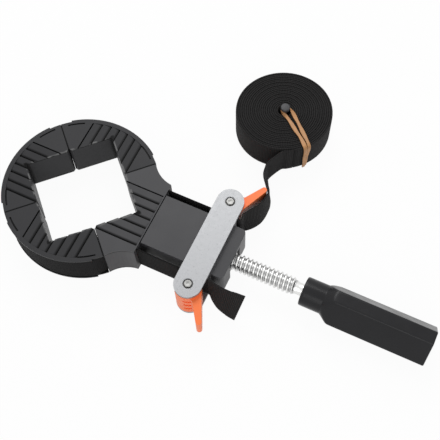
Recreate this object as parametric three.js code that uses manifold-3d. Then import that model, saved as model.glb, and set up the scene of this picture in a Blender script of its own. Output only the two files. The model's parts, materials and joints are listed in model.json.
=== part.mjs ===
// Four-jaw band clamp: a webbing band runs round four corner jaws, passes two cam levers on a
// pair of steel crossbars, and a hand screw pushes the nose jaw forward to draw the band tight.
// Millimetres. Origin on the floor under the crossbars' middle, +X to the handle, +Z up.
import * as THREE from 'three';
import Module from 'manifold-3d';

const wasm = await Module();
wasm.setup();

const FIT = 0.3; // gap between pieces that touch
const OVERRUN = 1; // how far a cutter stands past what it cuts, or a joined block laps its neighbour

// Band, standing on edge between the two crossbars
const BAND_WIDTH = 25;
const BAND_THICK = 1;
const PLATE_THICK = 2.2;
const MID_Z = PLATE_THICK + FIT + BAND_WIDTH / 2; // common mid-height of the clamp
const BAND_Z0 = MID_Z - BAND_WIDTH / 2;
const BAND_Z1 = MID_Z + BAND_WIDTH / 2;

// Ring of jaws
const RING_R = 53.5;
const RIM_COVER = 0.9; // how far the rim stands out past the middle of the band
const JAW_FLANGE = 1.4; // thickness above and below the channel for the band
const JAW_WALL = 10.7; // from the rim in to the inner corner
const CORNER_R = RING_R - JAW_WALL;
const NOSE_CORNER_IN = 0.8;
const NOSE_CORNER_R = CORNER_R - NOSE_CORNER_IN;
const SPLIT_GAP = FIT;
const BAND_R = RING_R - RIM_COVER; // middle of the band's thickness round the ring
const CHANNEL_R = BAND_R - BAND_THICK / 2 - FIT;
const CHANNEL_Z0 = BAND_Z0 - FIT;
const CHANNEL_Z1 = BAND_Z1 + FIT;
const JAW_Z0 = CHANNEL_Z0 - JAW_FLANGE;
const JAW_Z1 = CHANNEL_Z1 + JAW_FLANGE;
const JAW_CHAMFER = 1.6;
const END_ANGLE = 8.5; // beside each split the rim is set back and the band's seat falls inward
const END_DIP = 2.4;
const RIM_SET_BACK = 1;
const GROOVE_COUNT = 7;
const GROOVE_WIDTH = 1;
const GROOVE_DEPTH = 1.3;
const GROOVE_PITCH = 6.45;
const GROOVE_SHIFT = 2.4; // the middle groove lies this far beside the jaw's middle
const STRIP_FALL = 0.9; // each strip between two grooves slopes down by this much
const RIM_WIDTH = 3; // plain rim outside the grooves
const UNDER_EDGE = 1.2; // plain edge of the lower face along the inner walls
const SEAM_WIDTH = 0.8; // plain edge between the nose's grooves and the neck
const SLOT_WIDTH = 1.1; // curved slot in the plain face beside each split
const SLOT_DEPTH = 0.8;
const SLOT_IN = 3.3; // rim to the slot's middle
const SLOT_FROM = 5.3;
const SLOT_TO = 18.8;
const NOSE_EDGE_IN = 1.1; // the nose's outer wall starts this far inside the ring's rim
const NOSE_SIDE = 26.9; // half the nose's width at the neck
const NOSE_SCOOP = 2.2; // how far its outer walls are hollowed
const ARC_STEPS = 28;
const END_STEPS = 4;
const SLOT_STEPS = 6;

// Band past the nose and along the neck
const RUN_Y = 23.3;
const BEND_R = 8;
const BEND_STEPS = 7;
const NOSE_X = -41.1;
const NOSE_STRAIGHT = 6.14; // the tunnels run straight for this length before the neck
const NECK_SEAM = 0.5;
const RUN_X0 = NOSE_X + FIT;

// Crossbars, pins and cam levers
const CAM_NEAR = 7.6; // pin centre to the cam's face on the band
const CAM_FAR = 9.4;
const CAM_RELEASED = 6.6;
const CAM_GROW_ANGLE = 110; // degrees over which the cam's face grows from near to far
const CAM_EASE_ANGLE = 100; // degrees over which it eases to its released size
const CAM_FREE_ANGLE = 130;
const CAM_STEPS = 36;
const PIN_Y = RUN_Y + BAND_THICK / 2 + FIT + CAM_NEAR;
const PLATE_HALF = 9.25;
const PLATE_TOP = 2 * MID_Z;
const DECK_Z0 = PLATE_THICK + FIT;
const DECK_Z1 = PLATE_TOP - PLATE_THICK - FIT;
const PLATE_STEPS = 20;
const PIN_R = 3;
const PIN_END_R = 2.6; // corner radius of the pin's six-sided ends
const PIN_END_TURN = 25;
const PIN_RING_DEPTH = 1.2; // the shank ends this far inside the plate
const PIN_RISE = 0.5;
const PIN_FOOT = 0.2;
const PIN_BEVEL = 0.3;
const DIMPLE_R = 1.1;
const DIMPLE_FLAT = 0.2;
const DIMPLE_DEPTH = 0.35;
const DIMPLE_SIDES = 12;
const COUNTERSINK = 0.3;
const FINGER_LENGTH = 26.2;
const FINGER_ROOT_OUT = 8.4;
const FINGER_TIP_OUT = 7.7;
const FINGER_ROOT_IN = 2.2;
const FINGER_TIP_IN = 3.9;
const FINGER_FILLET = 1.2;
const FINGER_SUNK = 1.5; // the finger's top lies this far under the hub's
const FINGER_TALL = 15;
const FINGER_Z1 = DECK_Z1 - FINGER_SUNK;
const FINGER_Z0 = FINGER_Z1 - FINGER_TALL;
const FINGER_ANGLE_UPPER = 63.5;
const FINGER_ANGLE_LOWER = 62.5;
const TIP_STEPS = 6;
const HUB_SLOTS = 3;
const HUB_SLOT_HEIGHT = 2.2;
const HUB_SLOT_PITCH = 6.1;
const HUB_SLOT_DEPTH = 1;
const HUB_SLOT_FROM = -8; // degrees from the finger's way
const HUB_SLOT_TO = 24;

// The screw's front end, held in the nose's guide tongue
const JOURNAL_R = 3.6;
const JOURNAL_TIP = 1.6;
const JOURNAL_BEVEL = 0.6;
const CLIP_OVER = 2.6; // the clip's rim stands out this far round the journal
const CLIP_R = JOURNAL_R + CLIP_OVER;
const CLIP_THICK = 1.2;
const CLIP_GROOVE = 1;
const CLIP_CLEAR = 0.4;

// Housing
const NECK_X0 = NOSE_X + NECK_SEAM;
const NECK_X1 = -(PLATE_HALF + FIT);
const NECK_HALF = 18.7;
const NECK_OVER = 1.3; // the neck stands this far above the band, the rear block as far below it
const NECK_HALF_Z = BAND_WIDTH / 2 + NECK_OVER;
const DECK_LIP = 0.5;
const BLOCK_X0 = 9.4;
const BLOCK_HALF_Z = BAND_WIDTH / 2 - NECK_OVER;
const BLOCK_ROUND = 3;
const ROUND_STEPS = 4;
const ANVIL_X0 = -6;
const ANVIL_X1 = 9;
const RUN_X1 = BLOCK_X0;
const TONGUE_HALF = 11.1;
const TONGUE_WALL = 3;
const TONGUE_HALF_Z = CLIP_R + CLIP_CLEAR + TONGUE_WALL;
const TONGUE_ROOT = 4;
const TONGUE_END = 7;
const WASHER_THICK = 0.9;
const WASHER_X0 = TONGUE_END + FIT;
const WASHER_X1 = WASHER_X0 + WASHER_THICK;
const WASHER_IN = 1;
const WASHER_R = TONGUE_HALF_Z - WASHER_IN;
const CAVITY_END = WASHER_X1 + FIT;
const CAVITY_WALL = 1.2;
const NUT_X0 = CAVITY_END + CAVITY_WALL;
const NUT_THICK = 6.7;
const NUT_X1 = NUT_X0 + NUT_THICK;
const NUT_HALF = 8.9;
const NUT_SUNK = 0.8;
const NUT_Z0 = MID_Z - BLOCK_HALF_Z + NUT_SUNK;
const NUT_OVER = 8.6; // the screw's axis to the nut's top
const NUT_Z1 = MID_Z + NUT_OVER;
const REAR_WALL = 1.6;
const REAR_X1 = NUT_X1 + REAR_WALL;
const MOUTH_HALF = 7.4;
const DOOR_HALF = NUT_HALF + FIT;

// Screw and handle
const THREAD_CREST = 6;
const THREAD_ROOT = 4.6;
const THREAD_PITCH = 3;
const THREAD_X0 = CAVITY_END;
const THREAD_X1 = 60.8;
const THREAD_STEPS = 18;
const SHANK_R = 4.1;
const NUT_BORE = THREAD_CREST + FIT;
const ROUND_SIDES = 24;
const COLLAR_X = 66.4;
const COLLAR_R = 9.7;
const COLLAR_LENGTH = 14.6;
const COLLAR_BEVEL = 1.2;
const COLLAR_SIDES = 32;
const CONE_R = 9;
const CONE_LENGTH = 7;
const CONE_SIDES = 48;
const HANDLE_END = 152.8;
const HANDLE_BEVEL = 2;
const HANDLE_END_R = 12.8;
const HEX_WIDE = 19.5;
const HEX_NARROW = 8.5;
const WIDE_FACES = 3;
const SHANK_DEPTH = 13.6;

// Wound band
const COIL_X = 4.1;
const COIL_Y = 113.8;
const COIL_R = 32.1;
const COIL_LOOPS = 20;
const COIL_STEPS = 24;
const COIL_PITCH = 1.4;
const COIL_BAND = 0.95;
const COIL_START = -54;
const COIL_LIFT = 1.1;
const HOLDER_ANGLE = -39;
const HOLDER_WIDTH = 4;
const HOLDER_THICK = 0.8;
const HOLDER_IN = 1.3;
const HOLDER_ROUND_OUT = 1.2;
const HOLDER_ROUND_IN = 0.5;

// Loose band
const LOOSE_STEPS = 4;
const LEAD_BULGE = 10.2; // how far the lead swings out past the housing
const LEAD_LEAN = 4.8;
const LEAD_STRAIGHT = 9;
const TAIL_LENGTH = 24.3;
const TAIL_SWING = 4.2;
const TAIL_LEAN = 9.6;
const TAIL_SKEW = 3.1;
const TAIL_DROP = 1.5;

const rad = (degrees) => (degrees * Math.PI) / 180;
const sum = (a, b) => a.map((v, i) => v + b[i]);
const times = (a, k) => a.map((v) => v * k);

// A closed surface's points welded into a solid, turned outward if need be.
function solidOf(geometry) {
  const soup = geometry.index ? geometry.toNonIndexed() : geometry;
  const position = soup.attributes.position;
  const found = new Map();
  const points = [];
  const corners = [];
  const GRID = 2e4;
  for (let i = 0; i < position.count; i += 1) {
    const p = [position.getX(i), position.getY(i), position.getZ(i)];
    const key = p.map((v) => Math.round(v * GRID)).join(',');
    if (!found.has(key)) {
      found.set(key, points.length / 3);
      points.push(...p);
    }
    corners.push(found.get(key));
  }
  const faces = [];
  let volume = 0;
  for (let i = 0; i < corners.length; i += 3) {
    const [a, b, c] = corners.slice(i, i + 3);
    if (a !== b && b !== c && c !== a) {
      faces.push(a, b, c);
      const [p, q, r] = [a, b, c].map((k) => new THREE.Vector3(...points.slice(3 * k, 3 * k + 3)));
      volume += p.dot(q.cross(r));
    }
  }
  if (volume < 0) {
    for (let i = 0; i < faces.length; i += 3) [faces[i], faces[i + 1]] = [faces[i + 1], faces[i]];
  }
  return new wasm.Manifold(new wasm.Mesh({
    numProp: 3,
    vertProperties: new Float32Array(points),
    triVerts: new Uint32Array(faces),
  }));
}

function geometryOf(solid) {
  const mesh = solid.getMesh();
  const geometry = new THREE.BufferGeometry();
  const positions = new Float32Array(mesh.numVert * 3);
  for (let i = 0; i < mesh.numVert; i += 1) {
    for (let k = 0; k < 3; k += 1) positions[3 * i + k] = mesh.vertProperties[mesh.numProp * i + k];
  }
  geometry.setAttribute('position', new THREE.BufferAttribute(positions, 3));
  geometry.setIndex(new THREE.BufferAttribute(new Uint32Array(mesh.triVerts), 1));
  geometry.computeVertexNormals();
  return geometry;
}

const join = (...solids) => solids.reduce((all, one) => all.add(one));
const cut = (solid, ...tools) => tools.reduce((rest, one) => rest.subtract(one), solid);

function prism(outline, z0, z1) {
  const shape = new THREE.Shape(outline.map(([x, y]) => new THREE.Vector2(x, y)));
  const geometry = new THREE.ExtrudeGeometry(shape, { depth: z1 - z0, bevelEnabled: false });
  geometry.translate(0, 0, z0);
  return solidOf(geometry);
}

function block(x0, x1, y0, y1, z0, z1) {
  return prism([[x0, y0], [x1, y0], [x1, y1], [x0, y1]], z0, z1);
}

// A straight bar along X from an outline of [y, z].
function beam(outline, x0, x1) {
  const shape = new THREE.Shape(outline.map(([y, z]) => new THREE.Vector2(y, z)));
  const geometry = new THREE.ExtrudeGeometry(shape, { depth: x1 - x0, bevelEnabled: false });
  geometry.applyMatrix4(new THREE.Matrix4().set(0, 0, 1, x0, 1, 0, 0, 0, 0, 1, 0, 0, 0, 0, 0, 1));
  return solidOf(geometry);
}

// The same solid on the clamp's underside.
const flipped = (solid) => solid.mirror([0, 0, 1]).translate([0, 0, 2 * MID_Z]);

function arc(x, y, radius, from, to, steps) {
  const points = [];
  for (let i = 0; i <= steps; i += 1) {
    const a = from + ((to - from) * i) / steps;
    points.push([x + radius * Math.cos(a), y + radius * Math.sin(a)]);
  }
  return points;
}

const round = (x, y, radius, steps = ROUND_SIDES) => arc(x, y, radius, 0, 2 * Math.PI, steps).slice(0, -1);
const polar = (radius, angle) => [radius * Math.cos(angle), radius * Math.sin(angle)];
const mirrored = (points, side) => points.map(([x, y]) => [x, side * y]);

// The point past b on the way from a to b.
function past(a, b, more) {
  const [dx, dy] = [b[0] - a[0], b[1] - a[1]];
  const k = more / Math.hypot(dx, dy);
  return [b[0] + dx * k, b[1] + dy * k];
}

// An arc from a to b that bows to the right of the way by the given height.
function bow(a, b, height, steps) {
  const [dx, dy] = [b[0] - a[0], b[1] - a[1]];
  const chord = Math.hypot(dx, dy);
  const radius = (chord ** 2 / 4 + height ** 2) / (2 * height);
  const k = (radius - height) / chord;
  const centre = [(a[0] + b[0]) / 2 - dy * k, (a[1] + b[1]) / 2 + dx * k];
  const from = Math.atan2(a[1] - centre[1], a[0] - centre[0]);
  return arc(centre[0], centre[1], radius, from, from + 2 * Math.asin(chord / 2 / radius), steps);
}

// A turned piece along X from a list of [x, radius].
function turned(profile, steps, y = 0, z = MID_Z) {
  const last = profile[profile.length - 1];
  const points = [[profile[0][0], 0], ...profile, [last[0], 0]];
  const lathe = new THREE.LatheGeometry(points.map(([x, r]) => new THREE.Vector2(r, x)), steps);
  lathe.rotateZ(-Math.PI / 2);
  lathe.translate(0, y, z);
  return solidOf(lathe);
}

// A turned piece standing upright on a pin's axis, from a list of [radius, z].
function upright(profile, y, steps = ROUND_SIDES) {
  const last = profile[profile.length - 1];
  const points = [[0, profile[0][1]], ...profile, [0, last[1]]];
  const lathe = new THREE.LatheGeometry(points.map(([r, z]) => new THREE.Vector2(r, z)), steps);
  lathe.rotateX(Math.PI / 2);
  lathe.translate(0, y, 0);
  return solidOf(lathe);
}

// A standing band through stations of { at, lean, z0, z1 }, lean being its top edge's shift.
function bandSolid(stations, thick) {
  const corners = stations.map((s, i) => {
    const before = stations[Math.max(i - 1, 0)].at;
    const after = stations[Math.min(i + 1, stations.length - 1)].at;
    const length = Math.hypot(after[0] - before[0], after[1] - before[1]);
    const side = [-(after[1] - before[1]) / length, (after[0] - before[0]) / length];
    const lean = s.lean ?? [0, 0];
    return [[-1, s.z0], [1, s.z0], [1, s.z1], [-1, s.z1]].map(([k, z]) => {
      const tip = z === s.z1 ? 0.5 : -0.5;
      return [0, 1].map((c) => s.at[c] + side[c] * k * thick / 2 + lean[c] * tip).concat(z);
    });
  });
  const faces = [];
  const quad = (a, b, c, d) => faces.push(a, b, c, a, c, d);
  for (let i = 0; i + 1 < corners.length; i += 1) {
    for (let k = 0; k < 4; k += 1) {
      const n = (k + 1) % 4;
      quad(corners[i][k], corners[i][n], corners[i + 1][n], corners[i + 1][k]);
    }
  }
  const end = corners[corners.length - 1];
  quad(corners[0][3], corners[0][2], corners[0][1], corners[0][0]);
  quad(end[0], end[1], end[2], end[3]);
  const geometry = new THREE.BufferGeometry();
  geometry.setAttribute('position', new THREE.Float32BufferAttribute(faces.flat(), 3));
  return solidOf(geometry);
}

const standing = (points) => points.map((at) => ({ at, z0: BAND_Z0, z1: BAND_Z1 }));

// Jaws, each built with the ring's centre at the origin and its own middle along the first axis
const EIGHTH = Math.PI / 4;
const END_FROM = EIGHTH - rad(END_ANGLE);
const clearOf = (radius) => Math.asin(SPLIT_GAP / 2 / radius);
const inPlace = (solid, angle) => solid.rotate([0, 0, angle / rad(1)]).translate([RING_X, 0, 0]);
const fromRing = (points) => points.map(([u, v]) => [RING_X + u, v]);

// The band leaves the ring, crosses the nose's split straight and bends onto the neck's line. The
// ring stands as far from the neck as that line needs.
const LEAVE = polar(BAND_R, EIGHTH + rad(END_ANGLE));
const CROSS = polar(BAND_R - END_DIP, EIGHTH);
const NOSE_TURN = Math.atan2(CROSS[1] - LEAVE[1], CROSS[0] - LEAVE[0]);
const BEND_X = CROSS[0] + (RUN_Y - CROSS[1]) / Math.tan(NOSE_TURN) + BEND_R * Math.tan(-NOSE_TURN / 2);
const RING_X = NOSE_X - BEND_X - NOSE_STRAIGHT;

// Where the line of an inner face meets the split face.
function splitCorner(cornerR) {
  const shift = SPLIT_GAP / 2 * Math.SQRT2;
  const u = (cornerR + shift) / 2;
  return [u, u - shift];
}

// The jaw's outline towards its inner corner, the split faces' inner ends chamfered.
function innerOutline(cornerR) {
  const [u, v] = splitCorner(cornerR);
  const k = JAW_CHAMFER / Math.SQRT2;
  return [[u + k, -v - k], [u + k, -v + k], [cornerR, 0], [u + k, v - k], [u + k, v + k]];
}

// Cutters for both faces: fine grooves, and strips between them that slope like shingles. On the
// lower face they stop short of the inner walls.
function faceRelief(hand, field, cornerR) {
  const places = [];
  for (let k = 0; k < GROOVE_COUNT; k += 1) {
    places.push(hand * ((k - (GROOVE_COUNT - 1) / 2) * GROOVE_PITCH - GROOVE_SHIFT));
  }
  const half = GROOVE_WIDTH / 2;
  const top = JAW_Z1 + OVERRUN;
  const tools = places.map((v) => block(0, RING_R, v - half, v + half, JAW_Z1 - GROOVE_DEPTH, top));
  for (let k = 0; k + 1 < GROOVE_COUNT; k += 1) {
    const [low, high] = [places[k], places[k + 1]];
    tools.push(beam([[low, JAW_Z1 - STRIP_FALL], [high, JAW_Z1], [high, top], [low, top]], 0, RING_R));
  }
  const upper = join(...tools).intersect(field);
  const edge = cornerR + UNDER_EDGE * Math.SQRT2;
  const far = edge + RING_R;
  const outside = [[edge, 0], [0, -edge], [far, -edge], [far, edge], [0, edge]];
  return [upper, flipped(upper.intersect(prism(outside, 0, top)))];
}

// Curved slots in the plain ends of both faces.
function endSlots() {
  const [inner, outer] = [RING_R - SLOT_IN - SLOT_WIDTH / 2, RING_R - SLOT_IN + SLOT_WIDTH / 2];
  const [from, to] = [EIGHTH - rad(SLOT_FROM), EIGHTH - rad(SLOT_TO)];
  const outline = [...arc(0, 0, inner, from, to, SLOT_STEPS), ...arc(0, 0, outer, to, from, SLOT_STEPS)];
  return [-1, 1].flatMap((side) => {
    const slot = prism(mirrored(outline, side), JAW_Z1 - SLOT_DEPTH, JAW_Z1 + OVERRUN);
    return [slot, flipped(slot)];
  });
}

// The open channel for the band: round its seat, and straight down towards both splits.
function channel() {
  const seat = arc(0, 0, CHANNEL_R, -END_FROM, END_FROM, ARC_STEPS);
  const ends = [-1, 1].map((side) => past(
    polar(CHANNEL_R, side * END_FROM),
    polar(CHANNEL_R - END_DIP, side * EIGHTH),
    OVERRUN,
  ));
  const wide = RING_R * 2;
  const sweep = EIGHTH + rad(END_ANGLE);
  const outline = [ends[0], ...seat, ends[1], ...arc(0, 0, wide, sweep, -sweep, END_STEPS)];
  return prism(outline, CHANNEL_Z0, CHANNEL_Z1);
}

function looseJaw(angle, hand) {
  const endR = RING_R - RIM_SET_BACK;
  const half = EIGHTH - clearOf(endR);
  const outline = [
    ...innerOutline(CORNER_R),
    ...arc(0, 0, endR, half, END_FROM, END_STEPS),
    ...arc(0, 0, RING_R, END_FROM, -END_FROM, ARC_STEPS),
    ...arc(0, 0, endR, -END_FROM, -half, END_STEPS),
  ];
  const solid = prism(outline, JAW_Z0, JAW_Z1);
  const ribbed = [[0, 0], ...arc(0, 0, RING_R - RIM_WIDTH, -EIGHTH, EIGHTH, ARC_STEPS)];
  const field = prism(ribbed, JAW_Z0 - OVERRUN, JAW_Z1 + 2 * OVERRUN);
  return inPlace(cut(solid, channel(), ...faceRelief(hand, field, CORNER_R), ...endSlots()), angle);
}

// The band round the far jaw.
function farArc() {
  const half = EIGHTH - clearOf(BAND_R);
  const points = arc(0, 0, BAND_R, Math.PI - half, Math.PI + half, ARC_STEPS);
  return bandSolid(standing(fromRing(points)), BAND_THICK);
}

function sideArc(side) {
  const points = arc(0, 0, BAND_R, 3 * EIGHTH - clearOf(BAND_R), EIGHTH + rad(END_ANGLE), ARC_STEPS);
  points.push(past(LEAVE, CROSS, -SPLIT_GAP / 2));
  return bandSolid(standing(mirrored(fromRing(points), side)), BAND_THICK);
}

// The band's line through the nose, at an offset from its middle.
function noseLine(offset, overshoot = 0) {
  const [dx, dy] = polar(1, NOSE_TURN);
  const ahead = SPLIT_GAP / 2 - overshoot;
  const first = [CROSS[0] + dx * ahead - dy * offset, CROSS[1] + dy * ahead + dx * offset];
  const quarter = Math.PI / 2;
  const bend = arc(BEND_X, RUN_Y + BEND_R, BEND_R - offset, NOSE_TURN - quarter, -quarter, BEND_STEPS);
  return [first, ...bend, [NOSE_X - RING_X + overshoot, RUN_Y + offset]];
}

function noseJaw() {
  const edgeR = RING_R - NOSE_EDGE_IN;
  const corner = polar(edgeR, EIGHTH - clearOf(edgeR));
  const wall = bow(corner, [NOSE_X - RING_X, NOSE_SIDE], NOSE_SCOOP, BEND_STEPS);
  const outline = [...innerOutline(NOSE_CORNER_R), ...wall, ...mirrored(wall, -1).reverse()];
  const ribbedEnd = NOSE_X - RING_X - SEAM_WIDTH;
  const field = block(0, ribbedEnd, -RING_R, RING_R, JAW_Z0 - OVERRUN, JAW_Z1 + 2 * OVERRUN);
  let solid = cut(prism(outline, JAW_Z0, JAW_Z1), ...faceRelief(1, field, NOSE_CORNER_R));
  const gap = BAND_THICK / 2 + FIT;
  const tunnel = [...noseLine(gap, 2 * OVERRUN), ...noseLine(-gap, 2 * OVERRUN).reverse()];
  for (const side of [-1, 1]) {
    solid = cut(solid, prism(mirrored(tunnel, side), CHANNEL_Z0, CHANNEL_Z1));
  }
  // Guide tongue, open at the front underside of its end wall for the screw's clip
  const [low, high] = [MID_Z - TONGUE_HALF_Z, MID_Z + TONGUE_HALF_Z];
  const inside = TONGUE_HALF - TONGUE_WALL;
  const back = block(NOSE_X - TONGUE_ROOT, TONGUE_END, -TONGUE_HALF, TONGUE_HALF, low, high);
  const hollow = block(NOSE_X + TONGUE_ROOT, TONGUE_END - TONGUE_WALL, -inside, inside,
    low - OVERRUN, high - TONGUE_WALL);
  const bore = JOURNAL_R + FIT;
  const hole = turned([[TONGUE_END - 2 * TONGUE_WALL, bore], [TONGUE_END + OVERRUN, bore]], ROUND_SIDES);
  return cut(join(inPlace(solid, 0), back), hollow, hole);
}

// Housing and crossbars
function housing() {
  const corner = BLOCK_ROUND;
  const quarter = Math.PI / 2;
  const blockOutline = [
    [BLOCK_X0 - OVERRUN, -NECK_HALF],
    ...arc(REAR_X1 - corner, -NECK_HALF + corner, corner, -quarter, 0, ROUND_STEPS),
    ...arc(REAR_X1 - corner, NECK_HALF - corner, corner, 0, quarter, ROUND_STEPS),
    [BLOCK_X0 - OVERRUN, NECK_HALF],
  ];
  const neck = block(NECK_X0, NECK_X1, -NECK_HALF, NECK_HALF, MID_Z - NECK_HALF_Z, MID_Z + NECK_HALF_Z);
  const deck = block(NECK_X1 - OVERRUN, BLOCK_X0 + DECK_LIP, -NECK_HALF, NECK_HALF, DECK_Z0, DECK_Z1);
  const rear = prism(blockOutline, MID_Z - BLOCK_HALF_Z, MID_Z + BLOCK_HALF_Z);
  const anvilHalf = RUN_Y - BAND_THICK / 2 - FIT;
  const anvil = block(ANVIL_X0, ANVIL_X1, -anvilHalf, anvilHalf, DECK_Z0, DECK_Z1);
  const cavity = block(NECK_X0 - OVERRUN, CAVITY_END, -TONGUE_HALF - FIT, TONGUE_HALF + FIT,
    MID_Z - TONGUE_HALF_Z - FIT, MID_Z + TONGUE_HALF_Z + FIT);
  const under = DECK_Z0 - OVERRUN;
  const pocket = block(NUT_X0 - FIT, NUT_X1 + FIT, -DOOR_HALF, DOOR_HALF, under, NUT_Z1 + FIT);
  const mouth = block(NUT_X1, REAR_X1 + OVERRUN, -MOUTH_HALF, MOUTH_HALF, under, MID_Z + MOUTH_HALF);
  const bore = NUT_BORE + FIT;
  const passage = turned([[CAVITY_END - OVERRUN, bore], [NUT_X0, bore]], ROUND_SIDES);
  return cut(join(neck, deck, rear, anvil), cavity, pocket, mouth, passage);
}

// The upper crossbar, its rivet holes eased at the outer face.
function crossbar() {
  const outline = [
    ...arc(0, PIN_Y, PLATE_HALF, 0, Math.PI, PLATE_STEPS),
    ...arc(0, -PIN_Y, PLATE_HALF, Math.PI, 2 * Math.PI, PLATE_STEPS),
  ];
  let plate = prism(outline, PLATE_TOP - PLATE_THICK, PLATE_TOP);
  for (const side of [-1, 1]) {
    const hole = (radius, z) => prism(round(0, side * PIN_Y, radius), z, PLATE_TOP + OVERRUN);
    plate = cut(plate, hole(PIN_R + FIT, MID_Z), hole(PIN_R + 2 * FIT, PLATE_TOP - COUNTERSINK));
  }
  return plate;
}

// A rivet: a round shank with six-sided ends, each with a small dimple.
function pin(side) {
  const y = side * PIN_Y;
  const [bottom, top] = [PIN_FOOT, PLATE_TOP + PIN_RISE];
  const six = round(0, 0, PIN_END_R, 6).map(([u, v]) => {
    const [x, w] = polar(Math.hypot(u, v), Math.atan2(v, u) + rad(PIN_END_TURN));
    return [x, y + w];
  });
  const shank = upright([[PIN_R, PIN_RING_DEPTH], [PIN_R, PLATE_TOP - PIN_RING_DEPTH]], y);
  const eased = upright([
    [PIN_END_R - PIN_BEVEL, bottom], [PIN_END_R, bottom + PIN_BEVEL],
    [PIN_END_R, top - PIN_BEVEL], [PIN_END_R - PIN_BEVEL, top],
  ], y);
  const dimple = (z, inward) => upright([
    [DIMPLE_R, z - inward * OVERRUN], [DIMPLE_R, z], [DIMPLE_FLAT, z + inward * DIMPLE_DEPTH],
  ], y, DIMPLE_SIDES);
  return cut(join(shank, prism(six, bottom, top).intersect(eased)), dimple(top, -1), dimple(bottom, 1));
}

// Cam levers
// The cam's face stands nearest the pin at the band and grows away from it on the far side.
function camRadius(fromBand) {
  if (fromBand < -rad(CAM_FREE_ANGLE)) return CAM_FAR;
  const [reach, over] = fromBand < 0 ? [CAM_RELEASED, CAM_EASE_ANGLE] : [CAM_FAR, CAM_GROW_ANGLE];
  return CAM_NEAR + (reach - CAM_NEAR) * Math.min(1, Math.abs(fromBand) / rad(over));
}

function lever(side, degrees) {
  const turn = rad(degrees);
  const along = polar(1, turn);
  const across = [along[1], -along[0]];
  const at = (a, c) => sum(sum([0, PIN_Y], times(along, a)), times(across, c));
  const cam = [];
  for (let i = 0; i < CAM_STEPS; i += 1) {
    const a = (2 * Math.PI * i) / CAM_STEPS;
    const fromBand = a + Math.PI / 2 > Math.PI ? a - 1.5 * Math.PI : a + Math.PI / 2;
    cam.push(sum([0, PIN_Y], polar(camRadius(fromBand), a)));
  }
  const tipRound = (FINGER_TIP_OUT - FINGER_TIP_IN) / 2;
  const tipMid = [FINGER_LENGTH - tipRound, FINGER_TIP_OUT - tipRound];
  const tip = arc(...tipMid, tipRound, Math.PI / 2, -Math.PI / 2, TIP_STEPS);
  const throat = FINGER_ROOT_IN - FINGER_FILLET;
  const finger = [
    at(0, FINGER_ROOT_OUT), ...tip.map(([a, c]) => at(a, c)), at(CAM_FAR + FINGER_FILLET, FINGER_ROOT_IN),
    at(CAM_FAR, throat), at(0, throat),
  ];
  const shape = (points, z0, z1) => prism(mirrored(points, side), z0, z1);
  let solid = join(shape(cam, DECK_Z0, DECK_Z1), shape(finger, FINGER_Z0, FINGER_Z1));
  solid = cut(solid, shape(round(0, PIN_Y, PIN_R + FIT), 0, PLATE_TOP));
  // Grip slots across the hub's outer face, beside the finger
  const [from, to] = [turn + rad(HUB_SLOT_FROM), turn + rad(HUB_SLOT_TO)];
  const strip = [
    ...arc(0, PIN_Y, CAM_FAR - HUB_SLOT_DEPTH, from, to, SLOT_STEPS),
    ...arc(0, PIN_Y, CAM_FAR + OVERRUN, to, from, SLOT_STEPS),
  ];
  for (let i = 0; i < HUB_SLOTS; i += 1) {
    const z = MID_Z + (i - (HUB_SLOTS - 1) / 2) * HUB_SLOT_PITCH;
    solid = cut(solid, shape(strip, z - HUB_SLOT_HEIGHT / 2, z + HUB_SLOT_HEIGHT / 2));
  }
  return solid;
}

// Screw, nut and handle
// One unbroken helical thread: a strip of four steps a pitch, wound round and closed at both ends.
function thread(x0, x1) {
  const pitchShares = [0, 0.16, 0.46, 0.62];
  const radii = [THREAD_ROOT, THREAD_CREST, THREAD_CREST, THREAD_ROOT];
  const rows = pitchShares.map((share, i) => [share, radii[i]]);
  const n = THREAD_STEPS;
  const turns = Math.ceil((x1 - x0) / THREAD_PITCH) + 3;
  const total = turns * n;
  const start = x0 - 2 * THREAD_PITCH;
  const point = (i, m) => {
    const [share, radius] = m === rows.length ? [1, THREAD_ROOT] : rows[m];
    const a = (2 * Math.PI * i) / n;
    const x = start + THREAD_PITCH * (i / n + share);
    return [x, radius * Math.cos(a), MID_Z + radius * Math.sin(a)];
  };
  const faces = [];
  for (let i = 0; i < total; i += 1) {
    for (let m = 0; m < rows.length; m += 1) {
      const [a, b, c, d] = [point(i, m), point(i + 1, m), point(i + 1, m + 1), point(i, m + 1)];
      faces.push(a, b, c, a, c, d);
    }
  }
  const fan = (centre, loop) => loop.forEach((p, i) => faces.push(centre, p, loop[(i + 1) % loop.length]));
  const first = [];
  for (let m = rows.length; m > 0; m -= 1) first.push(point(0, m));
  for (let i = 0; i < n; i += 1) first.push(point(i, 0));
  fan([start, 0, MID_Z], first.reverse());
  const last = [];
  for (let i = total - n; i < total; i += 1) last.push(point(i, rows.length));
  for (let m = rows.length; m > 0; m -= 1) last.push(point(total, m));
  fan([start + THREAD_PITCH * (turns + 1), 0, MID_Z], last);
  const geometry = new THREE.BufferGeometry();
  geometry.setAttribute('position', new THREE.Float32BufferAttribute(faces.flat(), 3));
  const long = solidOf(geometry);
  const wide = THREAD_CREST * 2;
  return long.intersect(block(x0, x1, -wide, wide, MID_Z - wide, MID_Z + wide));
}

const CLIP_X1 = TONGUE_END - TONGUE_WALL - FIT;
const CLIP_X0 = CLIP_X1 - CLIP_THICK;

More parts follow.
